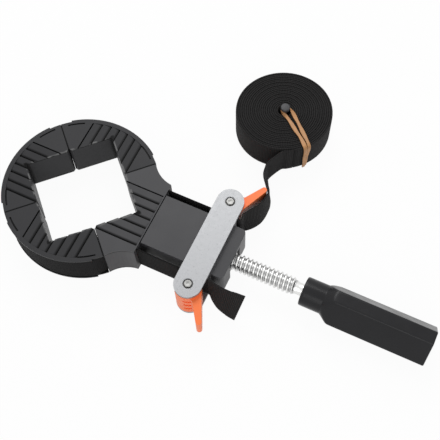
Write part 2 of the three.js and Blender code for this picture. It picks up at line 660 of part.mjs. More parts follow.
function spindle() {
  const grooveR = JOURNAL_R - CLIP_GROOVE;
  const journal = turned([
    [CLIP_X0 - JOURNAL_TIP, JOURNAL_R - JOURNAL_BEVEL], [CLIP_X0 - JOURNAL_TIP + JOURNAL_BEVEL, JOURNAL_R],
    [CLIP_X0 - FIT, JOURNAL_R], [CLIP_X0 - FIT, grooveR],
    [CLIP_X1 + FIT, grooveR], [CLIP_X1 + FIT, JOURNAL_R], [THREAD_X0 + OVERRUN, JOURNAL_R],
  ], ROUND_SIDES);
  const shankEnd = COLLAR_X + SHANK_DEPTH - FIT;
  const shank = turned([[THREAD_X1 - OVERRUN, SHANK_R], [shankEnd, SHANK_R]], ROUND_SIDES);
  return join(journal, thread(THREAD_X0, THREAD_X1), shank);
}

function ringOf(x0, x1, outer, bore) {
  const hole = turned([[x0 - OVERRUN, bore], [x1 + OVERRUN, bore]], ROUND_SIDES);
  return cut(turned([[x0, outer], [x1, outer]], ROUND_SIDES), hole);
}

// The clip is open on one side, so that it snaps on across the screw's groove.
function clip() {
  const bore = JOURNAL_R - CLIP_GROOVE + FIT;
  const mouthShare = 0.8;
  const mouth = block(CLIP_X0 - OVERRUN, CLIP_X1 + OVERRUN, -bore * mouthShare, bore * mouthShare,
    MID_Z - 2 * CLIP_R, MID_Z);
  return cut(ringOf(CLIP_X0, CLIP_X1, CLIP_R, bore), mouth);
}

function nut() {
  const body = block(NUT_X0, NUT_X1, -NUT_HALF, NUT_HALF, NUT_Z0, NUT_Z1);
  return cut(body, turned([[NUT_X0 - OVERRUN, NUT_BORE], [NUT_X1 + OVERRUN, NUT_BORE]], ROUND_SIDES));
}

// Three wide faces and three narrow ones, a narrow one on top.
const HEX_OFF = (HEX_WIDE + 2 * HEX_NARROW) / (2 * Math.sqrt(3)); // axis to a wide face
const HEX_R = Math.hypot(HEX_OFF, HEX_WIDE / 2);

function hexPoints() {
  const spread = Math.atan2(HEX_WIDE / 2, HEX_OFF);
  const points = [];
  for (let face = 0; face < WIDE_FACES; face += 1) {
    const middle = Math.PI / 6 + (face * 2 * Math.PI) / WIDE_FACES;
    for (const k of [-1, 1]) points.push(sum([0, MID_Z], polar(HEX_R, middle + k * spread)));
  }
  return points;
}

function handle() {
  const x1 = COLLAR_X + COLLAR_LENGTH;
  const cone = turned([
    [x1, CONE_R], [x1 + CONE_LENGTH, HEX_R + OVERRUN],
    [HANDLE_END - HANDLE_BEVEL, HEX_R + OVERRUN], [HANDLE_END, HANDLE_END_R],
  ], CONE_SIDES);
  const grip = beam(hexPoints(), x1, HANDLE_END).intersect(cone);
  const eased = COLLAR_R - COLLAR_BEVEL;
  const collar = turned([
    [COLLAR_X, eased], [COLLAR_X + COLLAR_BEVEL, COLLAR_R], [x1, COLLAR_R], [x1 + COLLAR_BEVEL, eased],
  ], COLLAR_SIDES);
  const bore = SHANK_R + FIT;
  const socket = turned([[COLLAR_X - OVERRUN, bore], [COLLAR_X + SHANK_DEPTH, bore]], ROUND_SIDES);
  return cut(join(grip, collar), socket);
}

// Loose band
function smooth(knots, steps) {
  const points = [];
  const pick = (i) => knots[Math.min(Math.max(i, 0), knots.length - 1)];
  for (let i = 0; i + 1 < knots.length; i += 1) {
    for (let s = 0; s < steps; s += 1) {
      const t = s / steps;
      const [a, b, c, d] = [pick(i - 1), pick(i), pick(i + 1), pick(i + 2)];
      points.push(b.map((_, k) => 0.5 * (2 * b[k] + (c[k] - a[k]) * t
        + (2 * a[k] - 5 * b[k] + 4 * c[k] - d[k]) * t * t
        + (3 * b[k] - a[k] - 3 * c[k] + d[k]) * t ** 3)));
    }
  }
  points.push(knots[knots.length - 1]);
  return points;
}

const coilAngle = rad(COIL_START);
const coilPoint = (turn) => {
  const r = COIL_R - COIL_PITCH * turn;
  const a = coilAngle + 2 * Math.PI * turn;
  return [COIL_X + r * Math.cos(a), COIL_Y + r * Math.sin(a)];
};

// The lead's route from the upper cam round to the coil, as shares of its reach sideways and along,
// of its lean both ways and of its fall to the coil's height.
const leadShares = [
  [0, 0, 0, 0, 0], [0.09, 0.0015, 0, 0, 0.02], [0.16, 0.017, -0.03, 0.03, 0.1],
  [0.18, 0.042, -0.08, 0.08, 0.2], [0.17, 0.076, -0.17, 0.17, 0.36], [0.38, 0.122, -0.37, 0.33, 0.64],
  [0.61, 0.175, -0.5, 0.37, 0.79], [0.84, 0.24, -0.5, 0.25, 0.93], [0.97, 0.313, -0.37, 0.12, 1],
  [1, 0.392, -0.27, 0.12, 1], [0.97, 0.445, -0.31, 0.08, 1], [0.8, 0.5, -0.6, 0.04, 1],
  [0.56, 0.544, -1, 0, 1], [0.32, 0.603, -0.96, 0, 1], [0.15, 0.677, -0.62, 0, 1],
  [0.05, 0.749, -0.1, 0, 1],
];

function leadKnots() {
  const entry = coilPoint(0);
  const out = [Math.sin(coilAngle), -Math.cos(coilAngle)];
  const knots = leadShares.map(([reach, along, leanX, leanY, fall]) => [
    RUN_X1 + FIT + reach * LEAD_BULGE, RUN_Y + along * (entry[1] - RUN_Y),
    leanX * LEAD_LEAN, leanY * LEAD_LEAN, BAND_Z0 + fall * (COIL_LIFT - BAND_Z0),
  ]);
  for (const back of [LEAD_STRAIGHT, LEAD_STRAIGHT / 2, FIT]) {
    knots.push([...sum(entry, times(out, back)), 0, 0, COIL_LIFT]);
  }
  return knots;
}

// The tail's route: shares of its length, its swing outward, its lean and its fall.
const tailShares = [
  [0, 0, 0.083, 0], [0.05, 0.02, 0.12, 0.05], [0.177, 0.405, 0.354, 0.25], [0.383, 0.833, 0.615, 0.5],
  [0.606, 1, 0.79, 0.73], [0.812, 1, 0.917, 0.9], [1, 0.976, 1, 1],
];

const tailKnots = () => tailShares.map(([along, swing, lean, fall]) => [
  RUN_X1 + FIT + along * TAIL_LENGTH, -RUN_Y - swing * TAIL_SWING,
  along ** 2 * TAIL_SKEW, lean * TAIL_LEAN, BAND_Z0 - fall * TAIL_DROP,
]);

const leaning = (knots) => smooth(knots, LOOSE_STEPS).map(([x, y, leanX, leanY, z]) => ({
  at: [x, y],
  lean: [leanX, leanY],
  z0: z,
  z1: z + Math.sqrt(BAND_WIDTH ** 2 - leanX ** 2 - leanY ** 2),
}));

function coilStations() {
  const stations = [];
  for (let i = 0; i <= COIL_LOOPS * COIL_STEPS; i += 1) {
    stations.push({ at: coilPoint(i / COIL_STEPS), z0: COIL_LIFT, z1: COIL_LIFT + BAND_WIDTH });
  }
  return stations;
}

function leastGap(stations) {
  let least = Infinity;
  for (let i = 0; i < stations.length; i += 1) {
    const [px, py] = stations[i].at;
    for (let j = i + COIL_STEPS / 2; j + 1 < stations.length; j += 1) {
      const [ax, ay] = stations[j].at;
      const [bx, by] = stations[j + 1].at;
      const [dx, dy] = [bx - ax, by - ay];
      const t = Math.min(1, Math.max(0, ((px - ax) * dx + (py - ay) * dy) / (dx * dx + dy * dy)));
      least = Math.min(least, Math.hypot(px - ax - t * dx, py - ay - t * dy));
    }
  }
  return least - COIL_BAND;
}

// The elastic loop that keeps the coil wound: through its middle, over the rim and underneath.
function coilHolder() {
  const [inner, outer] = [HOLDER_IN, COIL_R + COIL_BAND / 2 + 2 * FIT];
  const [bottom, top] = [COIL_LIFT - FIT, COIL_LIFT + BAND_WIDTH + FIT];
  // A rectangle in the loop's plane with its corners cut off, grown by a margin
  const frame = (grow, corner) => {
    const [r0, r1, z0, z1] = [inner - grow, outer + grow, bottom - grow, top + grow];
    return [
      [r0 + corner, z0], [r1 - corner, z0], [r1, z0 + corner], [r1, z1 - corner],
      [r1 - corner, z1], [r0 + corner, z1], [r0, z1 - corner], [r0, z0 + corner],
    ].map(([r, z]) => new THREE.Vector2(r, z));
  };
  const face = new THREE.Shape(frame(HOLDER_THICK, HOLDER_ROUND_OUT));
  face.holes.push(new THREE.Path(frame(0, HOLDER_ROUND_IN).reverse()));
  const loop = new THREE.ExtrudeGeometry(face, { depth: HOLDER_WIDTH, bevelEnabled: false });
  loop.translate(0, 0, -HOLDER_WIDTH / 2);
  const [c, s] = polar(1, rad(HOLDER_ANGLE));
  loop.applyMatrix4(new THREE.Matrix4().set(c, 0, s, COIL_X, s, 0, -c, COIL_Y, 0, 1, 0, 0, 0, 0, 0, 1));
  return solidOf(loop);
}

// Assembly
const coil = coilStations();
console.log(`band_coil least gap to itself ${leastGap(coil).toFixed(3)} mm over ${COIL_LOOPS} loops`);

const noseBend = (side) => bandSolid(standing(mirrored(fromRing(noseLine(0)), side)), BAND_THICK);
const run = (side) => bandSolid(standing([[RUN_X0, side * RUN_Y], [RUN_X1, side * RUN_Y]]), BAND_THICK);

const PLASTIC = { color: 0x505054, metalness: 0, roughness: 0.55 };
const ORANGE = { color: 0xf5692a, metalness: 0, roughness: 0.5 };
const STEEL = { color: 0xc6c8ca, metalness: 0.8, roughness: 0.38 };
const ZINC = { color: 0xd8d8d6, metalness: 0.9, roughness: 0.25 };
const WEBBING = { color: 0x232222, metalness: 0, roughness: 0.9 };
const GRIP = { color: 0x2b2b2d, metalness: 0, roughness: 0.45 };
const ELASTIC = { color: 0xc8965f, metalness: 0, roughness: 0.7 };

const pieces = [
  ['housing', housing(), PLASTIC],
  ['crossbar_upper', crossbar(), STEEL],
  ['crossbar_lower', flipped(crossbar()), STEEL],
  ['pin_coil_side', pin(1), ZINC],
  ['pin_tail_side', pin(-1), ZINC],
  ['cam_lever_coil_side', lever(1, FINGER_ANGLE_UPPER), ORANGE],
  ['cam_lever_tail_side', lever(-1, FINGER_ANGLE_LOWER), ORANGE],
  ['nose_jaw', noseJaw(), PLASTIC],
  ['jaw_coil_side', looseJaw(Math.PI / 2, 1), PLASTIC],
  ['jaw_far', looseJaw(Math.PI, -1), PLASTIC],
  ['jaw_tail_side', looseJaw(-Math.PI / 2, -1), PLASTIC],
  ['spindle_screw', spindle(), ZINC],
  ['spindle_nut', nut(), STEEL],
  ['thrust_washer', ringOf(WASHER_X0, WASHER_X1, WASHER_R, JOURNAL_R + FIT), STEEL],
  ['retaining_clip', clip(), STEEL],
  ['handle', handle(), GRIP],
  ['band_arc_coil_side', sideArc(1), WEBBING],
  ['band_arc_far', farArc(), WEBBING],
  ['band_arc_tail_side', sideArc(-1), WEBBING],
  ['band_bend_coil_side', noseBend(1), WEBBING],
  ['band_bend_tail_side', noseBend(-1), WEBBING],
  ['band_run_coil_side', run(1), WEBBING],
  ['band_run_tail_side', run(-1), WEBBING],
  ['band_lead', bandSolid(leaning(leadKnots()), BAND_THICK), WEBBING],
  ['band_coil', bandSolid(coil, COIL_BAND), WEBBING],
  ['band_tail', bandSolid(leaning(tailKnots()), BAND_THICK), WEBBING],
  ['coil_holder', coilHolder(), ELASTIC],
];

const group = new THREE.Group();
group.name = 'band_clamp';
for (const [name, solid, finish] of pieces) {
  const material = new THREE.MeshStandardMaterial({ ...finish, flatShading: true });
  const mesh = new THREE.Mesh(geometryOf(solid), material);
  mesh.name = name;
  group.add(mesh);
}

export default group;
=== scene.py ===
"""Looks of a four-jaw band clamp: moulded jaws, steel crossbars, orange cam levers and webbing.

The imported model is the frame. Shapes that stay as they are come back as merged copies with
rounded edges, and the webbing, the screw's thread, the handle and the rubber band are worked out
again as finer surfaces in place of their nodes.
"""

import json
import logging
import math
from dataclasses import dataclass, replace
from enum import Enum
from typing import Optional, Sequence

import bmesh
import bpy
import numpy as np
from mathutils import Matrix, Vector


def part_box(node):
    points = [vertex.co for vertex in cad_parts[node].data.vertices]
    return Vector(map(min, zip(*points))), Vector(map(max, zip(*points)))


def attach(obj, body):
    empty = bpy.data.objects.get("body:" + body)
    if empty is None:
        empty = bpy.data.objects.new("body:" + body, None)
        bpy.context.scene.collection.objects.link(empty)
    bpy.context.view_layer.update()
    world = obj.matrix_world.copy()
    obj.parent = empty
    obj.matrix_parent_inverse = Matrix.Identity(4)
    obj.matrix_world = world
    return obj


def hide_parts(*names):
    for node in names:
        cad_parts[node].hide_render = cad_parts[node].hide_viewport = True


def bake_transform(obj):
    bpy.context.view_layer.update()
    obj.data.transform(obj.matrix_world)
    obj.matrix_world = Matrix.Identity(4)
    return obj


logging.basicConfig(level=logging.INFO, format="%(message)s")
LOG = logging.getLogger("band_clamp")

Pair = tuple[float, float]
Triple = tuple[float, float, float]
Socket = bpy.types.NodeSocket
Value = float | Sequence[float] | Socket

MM = 0.001
WEAVE = "weave"  # name of the webbing's UV map
BLACK = (0.0, 0.0, 0.0)
GLOSS_SPAN = (0.3, 0.7)  # values of the noise between which the gloss goes from end to end
SPECK_SPAN = (0.6, 0.7)  # values of the noise between which a speck sets in
WALL_SPAN = (0.0008, 0.0006)  # depths below the grooves' floors where the painted shade starts and where it is full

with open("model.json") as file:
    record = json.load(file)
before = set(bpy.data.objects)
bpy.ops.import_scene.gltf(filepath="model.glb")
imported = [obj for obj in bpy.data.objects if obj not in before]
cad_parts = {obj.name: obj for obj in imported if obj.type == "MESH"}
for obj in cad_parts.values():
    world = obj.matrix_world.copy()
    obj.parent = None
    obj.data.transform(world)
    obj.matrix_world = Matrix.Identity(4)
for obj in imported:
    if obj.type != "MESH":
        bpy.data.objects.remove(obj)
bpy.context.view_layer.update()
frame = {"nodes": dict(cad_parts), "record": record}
RECORD = frame["record"]
BODY_OF = {node: body for body, group in RECORD["behaviour"]["bodies"].items() for node in group}


def span(node: str, axis: int) -> Pair:
    """A node's lowest and highest place along one axis, in mm."""
    low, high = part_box(node)
    return low[axis] / MM, high[axis] / MM


def directions(degrees: float | Sequence[float]) -> np.ndarray:
    """The direction at an angle, as x and y, or at each of several angles, as rows."""
    angles = np.radians(degrees)
    return np.stack([np.cos(angles), np.sin(angles)], axis=-1)


def unit(rows: np.ndarray) -> np.ndarray:
    """A direction, or rows of them, brought to a length of 1."""
    return rows / np.linalg.norm(rows, axis=-1, keepdims=True)


def linked(name: str, data: bpy.types.ID) -> bpy.types.Object:
    """Links a new object to the scene.

    Args:
        name: its name.
        data: its mesh, lamp or camera.

    Returns:
        The object.
    """
    obj = bpy.data.objects.new(name, data)
    bpy.context.scene.collection.objects.link(obj)
    return obj


class Side(Enum):
    """The two sides of the clamp: the one with the wound band and the one with the short tail."""

    COIL = 1
    TAIL = -1

    @property
    def word(self) -> str:
        """The side's word in node names."""
        return "coil_side" if self is Side.COIL else "tail_side"


class Grain(Enum):
    """How a finish's fine relief is stretched over the piece, along x, y and z."""

    MOULDED = (1.0, 1.0, 1.0)
    TURNED_X = (1.0, 0.05, 0.05)


class Tree:
    """The node tree of a new material or world, with short ways to add nodes to it.

    Args:
        owner: the material or the world.
    """

    def __init__(self, owner: bpy.types.Material | bpy.types.World) -> None:
        owner.use_nodes = True
        self.owner = owner
        self.nodes = owner.node_tree.nodes
        self.links = owner.node_tree.links
        self.shader = self.nodes.get("Principled BSDF")

    def put(self, place: Socket, value: Value) -> None:
        """Links a socket to an input, or sets the input to a number, colour or scale."""
        if isinstance(value, Socket):
            self.links.new(value, place)
        else:
            place.default_value = value

    def fill(self, node: bpy.types.Node, **values: Value) -> None:
        """Fills a node's inputs, an underscore standing for a space in an input's name."""
        for word, value in values.items():
            self.put(node.inputs[word.replace("_", " ")], value)

    def add(self, kind: str, output: str, **values: Value) -> Socket:
        """Adds a node.

        Args:
            kind: its type, without the leading ShaderNode.
            output: which of its outputs is wanted.
            values: what its inputs are filled with.

        Returns:
            The socket with the output.
        """
        node = self.nodes.new(f"ShaderNode{kind}")
        self.fill(node, **values)
        return node.outputs[output]

    def math(self, kind: str, *inputs: float | Socket) -> Socket:
        """Adds a math node.

        Args:
            kind: its operation.
            inputs: numbers or sockets.

        Returns:
            The socket with the result.
        """
        node = self.nodes.new("ShaderNodeMath")
        node.operation = kind
        for place, value in zip(node.inputs, inputs):
            self.put(place, value)
        return node.outputs[0]

    def distance(self, value: Socket, other: float | Socket) -> Socket:
        """How far a value is from another, to either side."""
        return self.math("ABSOLUTE", self.math("SUBTRACT", value, other))

    def noise(self, size: float, detail: float = 2.0, grain: Grain = Grain.MOULDED) -> Socket:
        """Noise on the object's own coordinates.

        Args:
            size: size of a patch in metres.
            detail: finer layers.
            grain: how it is stretched.

        Returns:
            The socket with the noise, around a half.
        """
        place = self.add("TexCoord", "Object")
        stretched = self.add("Mapping", "Vector", Vector=place, Scale=grain.value)
        return self.add("TexNoise", "Fac", Vector=stretched, Scale=1 / size, Detail=detail)

    def place(self, axis: str) -> Socket:
        """The object's own coordinate along X, Y or Z, in metres."""
        return self.add("SeparateXYZ", axis, Vector=self.add("TexCoord", "Object"))

    def ramp(self, value: Socket, low: float, high: float, to_low: float = 0.0,
             to_high: float = 1.0) -> Socket:
        """Maps the range of a value from low to high onto another one, held at its ends."""
        return self.add("MapRange", "Result", Value=value, From_Min=low, From_Max=high,
                        To_Min=to_low, To_Max=to_high)

    def mix(self, share: Socket, first: Triple | Socket, second: Triple) -> Socket:
        """Mixes two colours.

        Args:
            share: how much of the second.
            first: a colour or a socket with one.
            second: the other colour.

        Returns:
            The socket with the mixture.
        """
        node = self.nodes.new("ShaderNodeMix")
        node.data_type = "RGBA"
        first = first if isinstance(first, Socket) else (*first, 1)
        self.fill(node, Factor=share, A=first, B=(*second, 1))
        return node.outputs["Result"]

    def finish(self, colour: Socket, height: Socket, relief: float) -> bpy.types.Material:
        """Joins colour and relief to the shader.

        Args:
            colour: the base colour.
            height: the relief's shape, from 0 to 1.
            relief: its height in metres.

        Returns:
            The material.
        """
        normal = self.add("Bump", "Normal", Strength=1, Distance=relief, Height=height)
        self.fill(self.shader, Base_Color=colour, Normal=normal)
        return self.owner


@dataclass(frozen=True)
class Finish:
    """A solid finish with uneven colour, uneven gloss and fine relief."""

    name: str
    colour: Triple  # linear base colour
    roughness: float  # the middle of its range
    metallic: float = 0.0  # 0 for plastic, 1 for metal
    mottle: float = 0.06  # how far the colour wanders from its base, as a share
    mottle_size: float = 0.012  # size of the colour's patches in metres
    relief: float = 0.00002  # height of the fine relief in metres
    relief_size: float = 0.0006  # size of one grain of the relief in metres
    spread: float = 0.05  # how far the roughness wanders to either side
    specular: float = 0.5  # the shader's specular level
    specks: float = 0.0  # how dark the small spots are, as a share; 0 for none
    speck_size: float = 0.0016  # their spacing in metres
    wear: float = 1.25  # how much lighter the edges are, as a painted highlight
    # distances from the clamp's middle height below which faces get painted shade and above which
    # they get none, in metres; without them nothing is darkened
    sunk: Optional[Pair] = None
    grime: float = 0.65  # how dark the painted shade on sunk faces is, as a share

    def build(self) -> bpy.types.Material:
        """Makes the material.

        Returns:
            The material.
        """
        tree = Tree(bpy.data.materials.new(self.name))
        tree.fill(tree.shader, Metallic=self.metallic, Specular_IOR_Level=self.specular)
        patches = tree.noise(self.mottle_size, 4)
        dark, light = (tuple(min(1.0, c * (1 + k * self.mottle)) for c in self.colour)
                       for k in (-1, 1))
        colour = tree.mix(patches, dark, light)
        if self.specks:
            spots = tree.ramp(tree.noise(self.speck_size, 3), *SPECK_SPAN, 0.0, self.specks)
            colour = tree.mix(spots, colour, BLACK)
        # painted shade and, on the jaws, painted highlights where the finish asks for them
        colour = self.stain(tree, colour)
        gloss = tree.ramp(patches, *GLOSS_SPAN, self.roughness - self.spread,
                          self.roughness + self.spread)
        tree.fill(tree.shader, Roughness=gloss)
        return tree.finish(colour, tree.noise(self.relief_size), self.relief)

    def stain(self, tree: Tree, colour: Socket) -> Socket:
        """Paints shade into the places between the faces' grooves, but not onto their tops and the
        walls below.

        Args:
            tree: the material's tree.
            colour: the socket with the colour before any painted shade.

        Returns:
            The socket with the colour with painted shade.
        """
        if not self.sunk:
            return colour
        deep, unshaded = self.sunk
        away = tree.distance(tree.place("Z"), MID_Z * MM)
        below = tree.ramp(away, deep, unshaded, self.grime, 0.0)
        above_walls = tree.ramp(away, *(deep - depth for depth in WALL_SPAN))
        return tree.mix(tree.math("MULTIPLY", below, above_walls), colour, BLACK)

    def worn(self) -> "Finish":
        """The same finish made lighter for the rounded edges, as a painted highlight."""
        colour = tuple(min(1.0, c * self.wear) for c in self.colour)
        return replace(self, name=f"{self.name}_edge", colour=colour)


@dataclass(frozen=True)
class JawFinish(Finish):
    """A jaw's plastic with painted shade along splits and in corners, and painted highlights in
    patches round the opening.
    """

    centre: float = 0.0  # place of the ring's middle along x, in metres
    wall: float = 0.03025  # distance of the opening's walls from there
    # distances from a split at which the painted shade line starts to fade and at which it ends
    seam: Pair = (0.00045, 0.0006)
    # distances from a split between which it sets in; the split's own faces stay below them
    face: Pair = (0.00016, 0.0002)
    dimmed: float = 0.45  # share of the line's darkness on those faces
    # painted highlights: light patches along the opening's top edges, standing for glints on the
    # strips' rounded ends
    rubbed: float = 0.15  # how light the painted highlights are, as linear grey
    rub: Pair = (0.0006, 0.0012)  # how wide they are: where they start to fade and where they end
    top: Pair = (0.0128, 0.0133)  # distances from the middle height between which they set in
    # size of one of them, and the values of the noise between which it sets in
    patch: Triple = (0.006, 0.46, 0.56)
    corner: Pair = (0.0009, 0.0017)  # as seam, for the painted shadow line down each of the opening's corners
    # how far that line reaches into the wall: where it fades and where it ends
    corner_deep: Pair = (0.0012, 0.002)

    def stain(self, tree: Tree, colour: Socket) -> Socket:
        """Adds painted shade along splits and down corners and, in patches, painted highlights on
        the opening's edges.

        A place's distance from the nearest split is the difference of its two distances from the
        ring's middle lines over the root of 2, and its distance along a wall's normal is their sum
        over the root of 2.

        Args:
            tree: the material's tree.
            colour: the socket with the colour before any painted light.

        Returns:
            The socket with the colour with painted shade and highlights.
        """
        colour = super().stain(tree, colour)
        x = tree.distance(tree.place("X"), self.centre)
        y = tree.math("ABSOLUTE", tree.place("Y"))
        apart, out = (tree.math("MULTIPLY", way, math.sqrt(0.5))
                      for way in (tree.distance(x, y), tree.math("ADD", x, y)))
        # painted shade along the splits and down the opening's corners
        seam = tree.math("MULTIPLY", tree.ramp(apart, *self.seam, self.grime, 0.0),
                         tree.ramp(apart, *self.face, self.dimmed, 1.0))
        inward = tree.distance(out, self.wall)
        edge = tree.ramp(inward, *self.rub, 1.0, 0.0)
        nearest = tree.math("MINIMUM", x, y)
        corner = tree.math("MULTIPLY", tree.ramp(nearest, *self.corner, self.grime, 0.0),
                           tree.ramp(inward, *self.corner_deep, 1.0, 0.0))
        away = tree.distance(tree.place("Z"), MID_Z * MM)
        high = tree.ramp(away, *self.top)
        size, *between = self.patch
        patch = tree.ramp(tree.noise(size, 1), *between)
        # painted highlight in patches along the opening's top edges
        light = tree.math("MULTIPLY", tree.math("MULTIPLY", edge, high), patch)
        colour = tree.mix(light, colour, (self.rubbed,) * 3)
        return tree.mix(tree.math("MAXIMUM", seam, corner), colour, BLACK)


@dataclass(frozen=True)
class ThreadFinish:
    """Bright metal on the thread's crests, with painted shade that darkens it towards its roots."""

    name: str
    crest: Triple  # linear colour at the crest
    root: Triple  # linear colour at the root, darkened as painted shade
    radii: Pair  # root and crest radius in metres
    end: float  # where the thread ends and the clean shank starts, in metres
    fade: float = 0.0005  # how long the change to the shank is
    roughness: float = 0.3  # the metal's roughness
    relief: float = 0.00001  # height of the turning marks in metres
    relief_size: float = 0.0004  # their size

    def build(self) -> bpy.types.Material:
        """Makes the material.

        Returns:
            The material.
        """
        tree = Tree(bpy.data.materials.new(self.name))
        tree.fill(tree.shader, Metallic=1.0, Roughness=self.roughness)
        off = (tree.place("Y"), tree.math("SUBTRACT", tree.place("Z"), MID_Z * MM))
        square = tree.math("ADD", *(tree.math("MULTIPLY", way, way) for way in off))
        crest = tree.ramp(tree.math("SQRT", square), *self.radii)
        shank = tree.ramp(tree.place("X"), self.end, self.end + self.fade)
        share = tree.math("MAXIMUM", crest, shank)
        marks = tree.noise(self.relief_size, grain=Grain.TURNED_X)
        return tree.finish(tree.mix(share, self.root, self.crest), marks, self.relief)


@dataclass(frozen=True)
class WebbingFinish:
    """Woven webbing: ribs across the band and rows of yarn along it, on the piece's own UV.

    U runs once round the band's edge-to-edge profile and V is the length in metres.
    """

    name: str
    colour: Triple  # linear base colour
    rib: float = 0.00115  # spacing of the cross ribs in metres
    rows: float = 48.0  # rows of yarn round the whole profile
    row_share: float = 0.3  # how strong the rows are against the ribs
    fuzz: Pair = (0.0011, 0.4)  # size of the fuzz in metres and how strong it is against the ribs
    # the colour follows the weave's height: painted shade in its depths and painted highlight on
    # its heights
    even: float = 0.6  # how much of the weave's height the colour follows
    shades: Pair = (0.45, 1.5)  # shares of the colour in the weave's depths and on its heights
    relief: float = 0.00013  # height of the weave in metres

    def build(self) -> bpy.types.Material:
        """Makes the material.

        Returns:
            The material.
        """
        tree = Tree(bpy.data.materials.new(self.name))
        tree.fill(tree.shader, Roughness=0.88, Specular_IOR_Level=0.06, Sheen_Weight=0.04,
                  Sheen_Roughness=0.5)
        weaving = tree.nodes.new("ShaderNodeUVMap")
        weaving.uv_map = WEAVE
        across, along = (tree.add("SeparateXYZ", axis, Vector=weaving.outputs["UV"])
                         for axis in "XY")
        ribs = self._wave(tree, along, 1 / self.rib)
        yarns = self._wave(tree, across, self.rows)
        weave = tree.math("MULTIPLY_ADD", yarns, self.row_share, ribs)
        fuzz = tree.noise(self.fuzz[0], 3)
        height = tree.math("MULTIPLY_ADD", fuzz, self.fuzz[1], weave)
        # painted shade in the weave's depths, painted highlight on its heights
        dark, light = (tuple(c * shade for c in self.colour) for shade in self.shades)
        colour = tree.mix(tree.math("MULTIPLY", height, self.even), dark, light)
        return tree.finish(colour, height, self.relief)

    @staticmethod
    def _wave(tree: Tree, socket: Socket, rate: float) -> Socket:
        """A sine of a coordinate with so many waves per unit, lifted to run from 0 to 1."""
        sine = tree.math("SINE", tree.math("MULTIPLY", socket, rate * 2 * math.pi))
        return tree.math("MULTIPLY_ADD", sine, 0.5, 0.5)


AnyFinish = Finish | ThreadFinish | WebbingFinish

BAND_OUT = 53.1  # from the ring's middle to the band's outer face, in mm like those that follow
RING_X = span("band_arc_far", 0)[0] + BAND_OUT  # the ring's middle
MID_Z = sum(span("jaw_far", 2)) / 2  # the clamp's middle height
RUN_X = span("band_run_coil_side", 0)  # where the band runs along the neck
RUN_Y = sum(span("band_run_coil_side", 1)) / 2

# sunk faces, splits and corners get painted shade from its dark share; its lighter edges and glint
# patches are painted highlights
JAW_PLASTIC = JawFinish(
    "jaw_plastic", (0.041, 0.041, 0.0433), 0.42, mottle=0.12, specular=0.09, wear=1.6,
    sunk=(0.01342, 0.0136), grime=0.92, centre=RING_X * MM,
)
NOSE_PLASTIC = replace(JAW_PLASTIC, name="nose_plastic", colour=(0.076, 0.076, 0.0795))
NECK_PLASTIC = Finish(
    "neck_plastic", (0.045, 0.045, 0.0485), 0.42, mottle=0.08, specular=0.28, wear=1.6,
)
GRIP_PLASTIC = Finish(
    "grip_plastic", (0.0155, 0.0155, 0.0172), 0.27, mottle=0.1, relief=0.000012, specular=0.19,
)
LEVER_PLASTIC = Finish(
    "orange_lever_plastic", (1.0, 0.21, 0.055), 0.4, mottle=0.03, relief=0.000015,
    specular=0.35, wear=1.1,
)
PLATE_STEEL = Finish(
    "plated_steel", (0.335, 0.34, 0.35), 0.45, metallic=0.6, mottle=0.09, mottle_size=0.003,
    relief=0.00001, relief_size=0.0005, specks=0.22, speck_size=0.0012, wear=1.4,
)
# its sunk range paints shade into the ring recess round each pin's stub
RIVET_STEEL = Finish(
    "rivet_steel", (0.33, 0.33, 0.32), 0.42, metallic=0.55, mottle=0.15, mottle_size=0.002,
    sunk=(0.0142, 0.0149),
)
RUBBER = Finish(
    "tan_rubber", (0.47, 0.232, 0.09), 0.5, mottle=0.35, mottle_size=0.003, relief=0.00005,
    relief_size=0.0012,
)
WEBBING = WebbingFinish("black_webbing", (0.0245, 0.0238, 0.024))
# a darker copy of the webbing, used for the whole band inside the clamp: painted shade from the
# jaws' overhanging rim
SHADED_WEBBING = replace(WEBBING, name="black_webbing_shaded", colour=(0.0125, 0.0122, 0.0124))


def grid_object(name: str, grid: np.ndarray, uv: Optional[np.ndarray] = None) -> bpy.types.Object:
    """A mesh from a grid of points, closed round its second direction with a fan at both ends.

    Args:
        name: the object's name.
        grid: points in metres, shape (rows, columns, 3); columns go once round the piece.
        uv: a (rows, columns + 1, 2) array for the webbing's map, if wanted.

    Returns:
        The linked object.
    """
    rows, columns = grid.shape[:2]
    here = np.arange(rows * columns).reshape(rows, columns)
    following = np.roll(here, -1, axis=1)
    quads = np.stack([here[:-1], following[:-1], following[1:], here[1:]], axis=-1).reshape(-1, 4)
    points = np.concatenate([grid.reshape(-1, 3), grid[:1].mean(axis=1), grid[-1:].mean(axis=1)])
    hubs = np.full((2, columns), rows * columns) + np.array([[0], [1]])
    fans = np.concatenate([np.stack([hubs[0], following[0], here[0]], axis=-1),
                           np.stack([hubs[1], here[-1], following[-1]], axis=-1)])
    mesh = bpy.data.meshes.new(name)
    mesh.from_pydata(points.tolist(), [], [*quads.tolist(), *fans.tolist()])
    mesh.shade_smooth()
    if uv is not None:
        layer = mesh.uv_layers.new(name=WEAVE)
        body = np.stack([uv[:-1, :-1], uv[:-1, 1:], uv[1:, 1:], uv[1:, :-1]], axis=-2)
        values = np.zeros((len(mesh.loops), 2), np.float32)
        values[: quads.size] = body.reshape(-1, 2)
        layer.uv.foreach_set("vector", values.reshape(-1))
    return linked(name, mesh)


def add_material(mesh: bpy.types.Mesh, finish: AnyFinish) -> None:
    """Gives a mesh a finish's material, which is made the first time."""
    mesh.materials.append(bpy.data.materials.get(finish.name) or finish.build())


